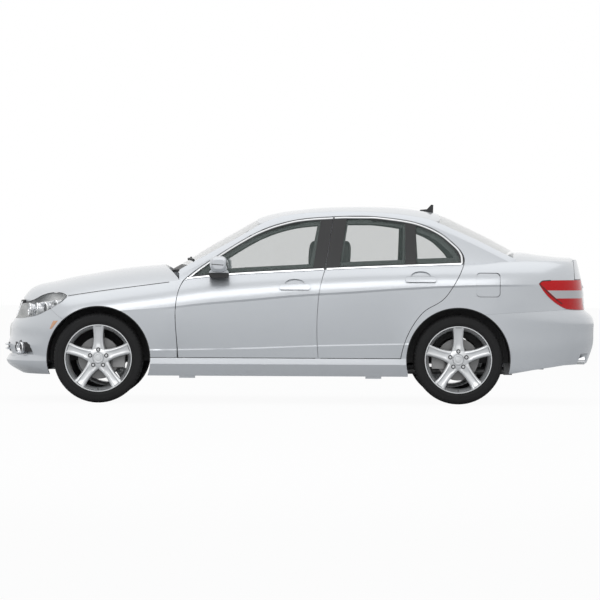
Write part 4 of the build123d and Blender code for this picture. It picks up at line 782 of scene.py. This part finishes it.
# Profiles are (outboard, share of the radius)
BOWL_PROFILE = [(-0.045, 0.0), (-0.044, 0.3), (-0.020, 0.75), (0.0, 0.96), (0.003, 1.0), (0.0, 1.05),
                (-0.050, 1.05), (-0.052, 0.0)]
RING_PROFILE = [(0.002, 0.95), (0.007, 0.98), (0.007, 1.06), (0.0, 1.10), (-0.006, 1.02)]
DOME_PROFILE = [(-0.040, 0.0), (-0.040, 0.5), (-0.020, 0.5), (-0.008, 0.36), (-0.002, 0.0)]
UNIT_MATERIALS = [reflector, chrome, gloss_black]


def lamp_unit(bm, center, axis, radius):
    """Round bowl with a bright ring and a dark inner lens, facing along an axis."""
    unit = bmesh.new()
    for material, profile in enumerate((BOWL_PROFILE, RING_PROFILE, DOME_PROFILE)):
        turned(unit, [(o, r * radius) for o, r in profile], 40, material)
    turn = Vector((0, -1, 0)).rotation_difference(Vector(axis).normalized()).to_matrix()
    set_down(bm, unit, turn, center)


lamp_skin = skin_of("headlamps")
bumper_skin = skin_of("front_bumper")
fender_skin = skin_of("fender_left")
grille_skin = skin_of("grille")
lid_skin = skin_of("trunk_lid")
screen_skin = skin_of("windshield")

# Headlamp and fog lamp inside pieces
SIDE_UNITS = [(-1.962, 0.728, 0.048, 0.030), (-1.872, 0.755, 0.036, 0.026), (-2.030, 0.690, 0.030, 0.026)]
SIDE_UNIT_WAY = (-0.75, -0.62, 0.05)
FRONT_UNITS = [(-0.505, 0.700, 0.045), (-0.620, 0.705, 0.045)]
FRONT_UNIT_WAY = (-0.97, -0.22, 0.05)
FRONT_UNIT_DEPTH = 0.032
BROW_DEPTH = 0.014
FOG_LAMP_SPOT = (-2.118, 0.408)
FOG_LAMP_WAY = (-0.83, -0.55, 0.0)
FOG_LAMP_RADIUS = 0.043
bm = bmesh.new()
for x, z, radius, depth in SIDE_UNITS:
    spot, normal = from_left(lamp_skin, x, z)
    lamp_unit(bm, spot - normal * depth, SIDE_UNIT_WAY, radius)
for y, z, radius in FRONT_UNITS:
    spot, _ = from_front(lamp_skin, y, z)
    lamp_unit(bm, spot + Vector((FRONT_UNIT_DEPTH, 0.0, 0.0)), FRONT_UNIT_WAY, radius)
pair(piece("headlamp_units_left", bm, UNIT_MATERIALS, "body", "lamp_lens"), "body")
brow = [(-1.985 + 0.017 * i, 0.756 + 0.0022 * i) for i in range(11)]
spots = [found for found in (from_left(lamp_skin, x, z) for x, z in brow) if found[0] is not None]
bm = bmesh.new()
strip(bm, [s - n * BROW_DEPTH for s, n in spots], [n for _, n in spots], 0.012, 0.006)
pair(piece("headlamp_brow_left", bm, [chrome], "body", "lamp_lens"), "body")
spot, _ = from_left(bumper_skin, *FOG_LAMP_SPOT)
bm = bmesh.new()
lamp_unit(bm, spot + Vector((-0.010, -0.014, 0.0)), FOG_LAMP_WAY, FOG_LAMP_RADIUS)
pair(piece("fog_lamp_left", bm, UNIT_MATERIALS, "body", "lamp_lens"), "body")

# Front bumper: lamp pockets, side markers and the middle intake
POCKET_BOTTOM, POCKET_TOP = 0.3505, 0.4725
POCKET_INNER_Y = 0.5195
POCKET_EDGES = [(-2.014, 0.358, 0.45), (-2.050, 0.438, 1.27)]
POCKET_SPOT = (-2.085, 0.408)
SOFT_EDGE = math.radians(25)
MARKER_CORNERS = [(-1.892, 0.557), (-1.880, 0.555), (-1.826, 0.620), (-1.866, 0.618)]
INTAKE_HALF, INTAKE_BOTTOM, INTAKE_TOP = 0.398, 0.354, 0.450
INTAKE_BAR_HALF, INTAKE_BAR_Z, INTAKE_BAR_STEP = 0.392, 0.373, 0.027


def in_pocket(spot):
    """True for a spot in the outline of a lamp pocket in the front bumper."""
    slant = min(x - slope * (spot.z - z) for x, z, slope in POCKET_EDGES)
    return abs(spot.y) > POCKET_INNER_Y and POCKET_BOTTOM < spot.z < POCKET_TOP and spot.x < slant


def near_pocket(face):
    """Faces that lie in a pocket's outline with all their corners."""
    return all(in_pocket(vert.co) for vert in face.verts)


def smooth_region(bm, spots, keep):
    """Faces passing a test that join the ones nearest to some spots without a sharp edge between."""
    found, ahead = set(), [min(bm.faces, key=lambda f: (f.calc_center_median() - s).length) for s in spots]
    while ahead:
        face = ahead.pop()
        found.add(face)
        for edge in face.edges:
            if len(edge.link_faces) == 2 and edge.calc_face_angle(0.0) < SOFT_EDGE:
                ahead += [f for f in edge.link_faces if f not in found and keep(f)]
    return found


bm = picked_faces("front_bumper", lambda f: True)
pocket, _ = from_left(bumper_skin, *POCKET_SPOT)
kept = smooth_region(bm, [pocket, pocket * Vector((1, -1, 1))], near_pocket)
bmesh.ops.delete(bm, geom=[f for f in bm.faces if f not in kept], context="FACES")
bm.normal_update()
thin_cover(bm, 0.0006, 0.0005)
piece("bumper_pockets", bm, [black_plastic], "body", "black_plastic")
marker = patch("side_marker_left", from_left, bumper_skin, MARKER_CORNERS, 0.004, amber, "body", "lamp_lens")
pair(marker, "body")
patch("intake_back", from_front, bumper_skin, level_panel(INTAKE_HALF, INTAKE_BOTTOM, INTAKE_TOP), 0.0012,
      black_plastic, "body", "black_plastic")
for row in range(3):
    path = level_path(INTAKE_BAR_HALF, INTAKE_BAR_Z + INTAKE_BAR_STEP * row)
    surface_strip(f"intake_bar_{row}", from_front, bumper_skin, path, 0.013, 0.027, paint, "body",
                  "silver_paint")

# Grille bars, blank plates and rear trim
GRILLE_BAR_HALF, GRILLE_BAR_Z, GRILLE_BAR_STEP = 0.312, 0.655, 0.030
GRILLE_EDGE_Y, GRILLE_EDGE_Z, GRILLE_EDGE_STEP = 0.322, 0.638, 0.012
PLATE_HALF, PLATE_LIFT = 0.26, 0.006
COVER_SHARE = 0.42
for row in range(4):
    path = level_path(GRILLE_BAR_HALF, GRILLE_BAR_Z + GRILLE_BAR_STEP * row)
    surface_strip(f"grille_bar_{row}", from_front, grille_skin, path, 0.013, 0.009, chrome, "body",
                  "grille_finish")
for side, sign in (("left", -1), ("right", 1)):
    path = [(sign * GRILLE_EDGE_Y, GRILLE_EDGE_Z + GRILLE_EDGE_STEP * i) for i in range(11)]
    surface_strip(f"grille_edge_{side}", from_front, grille_skin, path, 0.012, 0.008, chrome, "body",
                  "grille_finish")
patch("front_plate", from_front, bumper_skin, level_panel(PLATE_HALF, 0.487, 0.597), PLATE_LIFT, plate_white,
      "body", "silver_paint")
patch("rear_plate", from_rear, lid_skin, level_panel(PLATE_HALF, 0.755, 0.862), PLATE_LIFT, plate_white,
      "trunk_lid", "silver_paint")
surface_strip("lid_strip", from_rear, lid_skin, level_path(0.40, 0.892), 0.020, 0.007, chrome, "trunk_lid",
              "grille_finish")
bm = bmesh.new()
cushion(bm, (2.105, 0.560, 0.345), (0.030, 0.074, 0.052), (1, 0), [(1, -0.5), (1, 0.0), (1, 0.5)],
        8.0, 0.0, 0, 15)
piece("rear_vent_right", bm, [black_plastic], "body", "black_plastic")
low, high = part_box("engine")
bm = bmesh.new()
cushion(bm, ((low.x + high.x) / 2, 0.0, high.z + 0.004),
        ((high.x - low.x) * COVER_SHARE, (high.y - low.y) * COVER_SHARE, 0.016), (1, 0),
        [(1, -0.6), (1, -0.2), (1, 0.2), (1, 0.6)], 6.0)
piece("engine_cover", bm, [cabin_plastic], "body", "black_plastic")
lining("exhaust_tip", "exhaust", lambda f: f.calc_center_median().x > 2.0 and abs(f.normal.x) < 0.7,
       0.001, 0.001, chrome, "body", "steel")

# Seam lines in painted shade, wipers and mirror pieces
TAIL_EDGE = [(1.900, 0.942), (1.838, 0.938), (1.815, 0.917), (1.845, 0.884), (1.920, 0.817), (1.990, 0.764)]
HOOD_SEAM = [(-1.775, 0.803), (-1.55, 0.839), (-1.316, 0.871), (-1.10, 0.900), (-0.99, 0.915)]
WIPERS = [("driver", -0.02, -0.60), ("passenger", 0.52, 0.02)]
WIPER_FOOT_X, WIPER_BOW, WIPER_LEAN = -0.865, 0.10, 0.02
tail_lamp_skin = skin_of("tail_lamps", "body_side_left", "rear_bumper")
mirror_skin = skin_of("mirror_left")
# Dark strip round the tail lamp's outline: painted shade of the gap at its edge
pair(surface_strip("tail_lamp_edge_left", from_left, tail_lamp_skin, along(TAIL_EDGE, 31), 0.007, 0.0015,
                   gap_shade_black, "body", "black_plastic"), "body")
# Dark strip along the hood's shut line on the fender: painted shade of the gap
pair(surface_strip("hood_seam_left", from_left, fender_skin, along(HOOD_SEAM, 41), 0.0075, 0.0022,
                   gap_shade_black, "body", "black_plastic"), "body")
for name, inner, outer in WIPERS:
    path = []
    for i in range(21):
        y = inner + (outer - inner) * i / 20
        path.append((WIPER_FOOT_X + WIPER_BOW * y * y + WIPER_LEAN * i / 20, y))
    surface_strip(f"wiper_{name}", from_top, screen_skin, path, 0.014, 0.012, black_plastic, "body",
                  "black_plastic")


def is_mirror_face(face):
    """Faces of a door mirror that look back, above and outside its foot."""
    spot = face.calc_center_median()
    return face.normal.x > 0.85 and abs(spot.y) > 0.86 and spot.z > 1.015


for side in ("left", "right"):
    lining(f"mirror_glass_{side}", f"mirror_{side}", is_mirror_face, 0.0008, 0.0005, chrome,
           f"front_door_{side}", "grille_finish")
signal = [(-0.665 + 0.009 * i, 1.052 - 0.0006 * i) for i in range(11)]
pair(surface_strip("mirror_signal_left", from_left, mirror_skin, signal, 0.006, 0.0015, gloss_black,
                   "front_door_left", "black_plastic"), "front_door_left")

# Window frames as seen from inside
FRONT_WINDOW = [(-0.800, 0.972), (-0.772, 0.994), (-0.618, 1.099), (-0.463, 1.197), (-0.309, 1.281),
                (-0.154, 1.339), (0.0, 1.374), (0.160, 1.390)]
REAR_WINDOW = [(0.352, 1.399), (0.541, 1.400), (0.695, 1.386), (0.800, 1.370)]
QUARTER_WINDOW = [(0.880, 1.352), (0.965, 1.322), (1.060, 1.272), (1.130, 1.212), (1.182, 1.156),
                  (1.210, 1.110)]
TRIM_ABOVE_BELT = 0.012
TRIM_BEHIND_GLASS = 0.020
TRIM_THICKNESS = 0.010


def window_ring(name, top, ends, inset, node, body):
    """Dark trim inside a side window, all round it."""
    skin = skin_of(node)
    outline = along(top, 41)
    for i in range(25):
        x = ends[1] + (ends[0] - ends[1]) * i / 24
        outline.append((x, belt(x) + TRIM_ABOVE_BELT))
    outline = [Vector(spot) for spot in outline]
    count = len(outline)
    inner = []
    for i, spot in enumerate(outline):
        ahead = (outline[(i + 1) % count] - outline[i - 1]).normalized()
        inner.append(spot + Vector((ahead.y, -ahead.x)) * inset)
    clear = [i for i in range(count) if min((inner[i] - spot).length for spot in outline) > 0.9 * inset]
    inner = [inner[min(clear, key=lambda k: (outline[k] - outline[i]).length)] for i in range(count)]

    def place(u, v):
        i = round(u * count) % count
        flat = outline[i].lerp(inner[i], v)
        return Vector((flat.x, 0.0, flat.y))

    bm = bmesh.new()
    shaped_grid(bm, count, 2, place)
    bmesh.ops.remove_doubles(bm, verts=bm.verts, dist=1e-5)
    for vert in bm.verts:
        spot, _ = from_left(skin, vert.co.x, vert.co.z)
        if spot is None:
            spot = skin.find_nearest(Vector((vert.co.x, -0.75, vert.co.z)))[0]
        vert.co.y = spot.y + TRIM_BEHIND_GLASS
    bmesh.ops.solidify(bm, geom=bm.faces[:], thickness=TRIM_THICKNESS)
    return piece(name, bm, [trim_dark], body, "cabin_plastic")


for kind, top, ends, inset, door in (
    ("front", FRONT_WINDOW, (-0.78, 0.115), 0.034, "front_door"),
    ("rear", REAR_WINDOW, (0.300, 0.800), 0.036, "rear_door"),
    ("quarter", QUARTER_WINDOW, (0.880, 1.212), 0.040, "rear_door"),
):
    body = f"{door}_left"
    pair(window_ring(f"window_trim_{kind}_left", top, ends, inset, f"{door}_glass_left", body), body)


# Seats and cabin
SEAT_MATERIALS = [leather, cabin_plastic, chrome]
FRONT_SEATS = [(0.185, -0.370, 0.150), (-0.005, 0.370, 0.126)]
SEAT_SEAMS = [(0, -0.45), (0, -0.1), (0, 0.25), (1, -0.58), (1, 0.58)]
BACK_SEAMS = [(0, -0.5), (0, -0.15), (0, 0.2), (0, 0.6), (1, -0.58), (1, 0.58)]
HEADREST_SEAMS = [(1, -0.75), (1, 0.75)]
BENCH_SEAMS = [(0, -0.3), (0, 0.3), (1, -0.34), (1, 0.34)]
BENCH_BACK_SEAMS = [(0, -0.4), (0, 0.0), (0, 0.4), (1, -0.34), (1, 0.34)]
BENCH_LEAN = (0.25, 0.968)
bm = bmesh.new()
for seat_x, seat_y, head_x in FRONT_SEATS:
    cushion(bm, (seat_x - 0.255, seat_y, 0.392), (0.232, 0.25, 0.085), (1, -0.09), SEAT_SEAMS, 5.0, 0.024)
    cushion(bm, (seat_x + 0.084, seat_y, 0.715), (0.318, 0.25, 0.064), (0.215, 0.977), BACK_SEAMS, 5.0, 0.022)
    cushion(bm, (seat_x + head_x, seat_y, 1.125), (0.112, 0.13, 0.054), (0.06, 0.998), HEADREST_SEAMS, 3.2)
    cushion(bm, (seat_x - 0.20, seat_y, 0.325), (0.23, 0.225, 0.032), (1, 0), [], 8.0, 0.0, 1, 15)
    for offset in (-0.06, 0.06):
        rod(bm, (seat_x + 0.145, seat_y + offset, 1.03), 6, "Y", 16, (0.006, 0.006), 0.10, 2)
front_pads = piece("front_seat_pads", bm, SEAT_MATERIALS, "body", "seat_leather")
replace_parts(front_pads, "front_seats")

bm = bmesh.new()
cushion(bm, (0.690, 0.0, 0.385), (0.20, 0.53, 0.088), (1, -0.083), BENCH_SEAMS, 6.0)
cushion(bm, (0.993, 0.0, 0.722), (0.30, 0.53, 0.058), BENCH_LEAN, BENCH_BACK_SEAMS, 6.0)
for seat_y in (-0.34, 0.0, 0.34):
    cushion(bm, (1.066, seat_y, 1.005), (0.050, 0.125, 0.046), BENCH_LEAN, HEADREST_SEAMS, 3.2, 0.0, 0, 15)
rear_pads = piece("rear_seat_pads", bm, [leather], "body", "seat_leather")
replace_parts(rear_pads, "rear_seat")

# Console, instrument hood, screen, vents and gear knob; profiles are (outboard, radius)
VENT_RING = [(0.0, 0.034), (0.008, 0.036), (0.010, 0.042), (0.0, 0.046), (-0.01, 0.040)]
VENT_FACE = [(-0.008, 0.0), (-0.008, 0.035), (0.002, 0.035), (0.003, 0.018), (0.002, 0.0)]
KNOB_PROFILE = [(0.0, 0.016), (0.06, 0.012), (0.075, 0.024), (0.10, 0.026), (0.118, 0.018), (0.122, 0.0),
                (0.0, 0.0)]
bm = bmesh.new()
cushion(bm, (-0.16, 0.0, 0.385), (0.44, 0.095, 0.085), (1, 0), [(0, -0.2), (0, 0.35)], 7.0)
cushion(bm, (-0.545, -0.370, 0.950), (0.085, 0.165, 0.032), (1, -0.35), [], 3.5)
cushion(bm, (-0.470, 0.0, 0.890), (0.012, 0.110, 0.062), (1, -0.3), [], 8.0, 0.0, 1, 11)
for y in (-0.56, -0.15, 0.15, 0.56):
    vent = bmesh.new()
    turned(vent, VENT_RING, 32, 2)
    turned(vent, VENT_FACE, 32, 1)
    set_down(bm, vent, Matrix.Rotation(math.radians(90), 3, "Z"), (-0.458, y, 0.800))
knob = bmesh.new()
turned(knob, KNOB_PROFILE, 32, 1)
set_down(bm, knob, Matrix.Rotation(math.radians(-90), 3, "X"), (-0.30, 0.0, 0.46))
piece("dash_and_console", bm, [cabin_plastic, gloss_black, chrome], "body", "cabin_plastic")
bm = bmesh.new()
cushion(bm, (-0.385, 0.0, 1.255), (0.014, 0.110, 0.032), (1, 0.15), [], 4.0, 0.0, 0, 13)
rod(bm, (-0.397, 0.0, 1.285), -25, "Y", 16, (0.010, 0.014), 0.05)
piece("rear_view_mirror", bm, [gloss_black], "body", "black_plastic")


def faces_cabin(face, sign):
    """Faces of a door's panel below the belt that look into the cabin."""
    spot = face.calc_center_median()
    return sign * face.normal.y > 0.6 and spot.z < belt(spot.x) - 0.02


lining("headliner", "roof", lambda f: f.normal.z < -0.3, 0.002, 0.004, trim_cloth, "body", "cabin_plastic")
lining("carpet", "floor", lambda f: f.normal.z > 0.8, 0.002, 0.006, carpet, "body", "cabin_plastic")
for end in ("front", "rear"):
    for side, sign in (("left", 1), ("right", -1)):
        door = f"{end}_door_{side}"
        lining(f"door_card_{end}_{side}", door, lambda f: faces_cabin(f, sign), 0.002, 0.004, cabin_plastic,
               door, "cabin_plastic")


# Floor, light and camera
FLOOR_COLOR = (0.62, 0.62, 0.62, 1.0)
FLOOR_GLOW = 0.95
SOFT_COLOR = (0.94, 0.97, 1.0, 1.0)
SOFT_STRENGTH = 0.7


def rays_of(tree, *kinds):
    """One for rays of the kinds named, zero for others."""
    rays = tree.nodes.new("ShaderNodeLightPath")
    amount = 0.0
    for kind in kinds:
        amount = math_step(tree, "MAXIMUM", rays.outputs[f"Is {kind} Ray"], amount)
    return amount


def mix_shaders(tree, amount, first, second):
    """Shader between two others."""
    mix = tree.nodes.new("ShaderNodeMixShader")
    for place, given in enumerate((amount, first, second)):
        feed(tree, mix.inputs[place], given)
    return mix.outputs["Shader"]


def make_floor():
    """Pale floor that looks white to the camera, apart from the car's shadow."""
    bm = bmesh.new()
    bmesh.ops.create_grid(bm, x_segments=1, y_segments=1, size=60.0)
    mesh = bpy.data.meshes.new("floor_sheet")
    bm.to_mesh(mesh)
    bm.free()
    made = bpy.data.objects.new("floor_sheet", mesh)
    bpy.context.scene.collection.objects.link(made)
    made.location.z = -0.001
    material = bpy.data.materials.new("pale_floor")
    material.use_nodes = True
    tree = material.node_tree
    shader = tree.nodes["Principled BSDF"]
    feed(tree, shader.inputs["Base Color"], FLOOR_COLOR)
    feed(tree, shader.inputs["Roughness"], 0.9)
    glow = tree.nodes.new("ShaderNodeEmission")
    feed(tree, glow.inputs["Strength"], 1.0)
    amount = math_step(tree, "MULTIPLY", rays_of(tree, "Camera", "Transmission"), FLOOR_GLOW)
    surface = mix_shaders(tree, amount, shader.outputs["BSDF"], glow.outputs["Emission"])
    feed(tree, tree.nodes["Material Output"].inputs["Surface"], surface)
    mesh.materials.append(material)


def make_world():
    """White surround: full strength where it is seen or mirrored, softer as light."""
    world = bpy.data.worlds.new("studio")
    bpy.context.scene.world = world
    world.use_nodes = True
    tree = world.node_tree
    soft = tree.nodes["Background"]
    feed(tree, soft.inputs["Color"], SOFT_COLOR)
    feed(tree, soft.inputs["Strength"], SOFT_STRENGTH)
    white = tree.nodes.new("ShaderNodeBackground")
    feed(tree, white.inputs["Color"], (1.0, 1.0, 1.0, 1.0))
    feed(tree, white.inputs["Strength"], 1.0)
    amount = rays_of(tree, "Camera", "Transmission", "Glossy")
    surface = mix_shaders(tree, amount, soft.outputs["Background"], white.outputs["Background"])
    feed(tree, tree.nodes["World Output"].inputs["Surface"], surface)


def add_lamp(name, place, target, size, energy):
    """Square soft light aimed at a point."""
    data = bpy.data.lights.new(name, "AREA")
    data.shape = "RECTANGLE"
    data.size, data.size_y = size
    data.energy = energy
    lamp = bpy.data.objects.new(name, data)
    bpy.context.scene.collection.objects.link(lamp)
    lamp.location = place
    lamp.rotation_euler = (Vector(target) - Vector(place)).to_track_quat("-Z", "Y").to_euler()


make_floor()
make_world()
add_lamp("top_light", (0.0, 0.0, 7.0), (0.0, 0.0, 0.8), (12.0, 8.0), 185.0)
add_lamp("side_light", (-2.0, -12.0, 6.0), (0.0, 0.0, 0.6), (10.0, 5.0), 335.0)

camera_data = bpy.data.cameras.new("side_camera")
camera_data.lens = CAMERA_LENS
camera_data.shift_y = CAMERA_SHIFT
camera_data.clip_end = 200.0
camera = bpy.data.objects.new("side_camera", camera_data)
bpy.context.scene.collection.objects.link(camera)
camera.location = (0.0, -CAMERA_DISTANCE, CAMERA_HEIGHT)
camera.rotation_euler = (math.radians(90), -CAMERA_ROLL, 0.0)
bpy.context.scene.camera = camera
bpy.context.scene.view_settings.view_transform = "Standard"
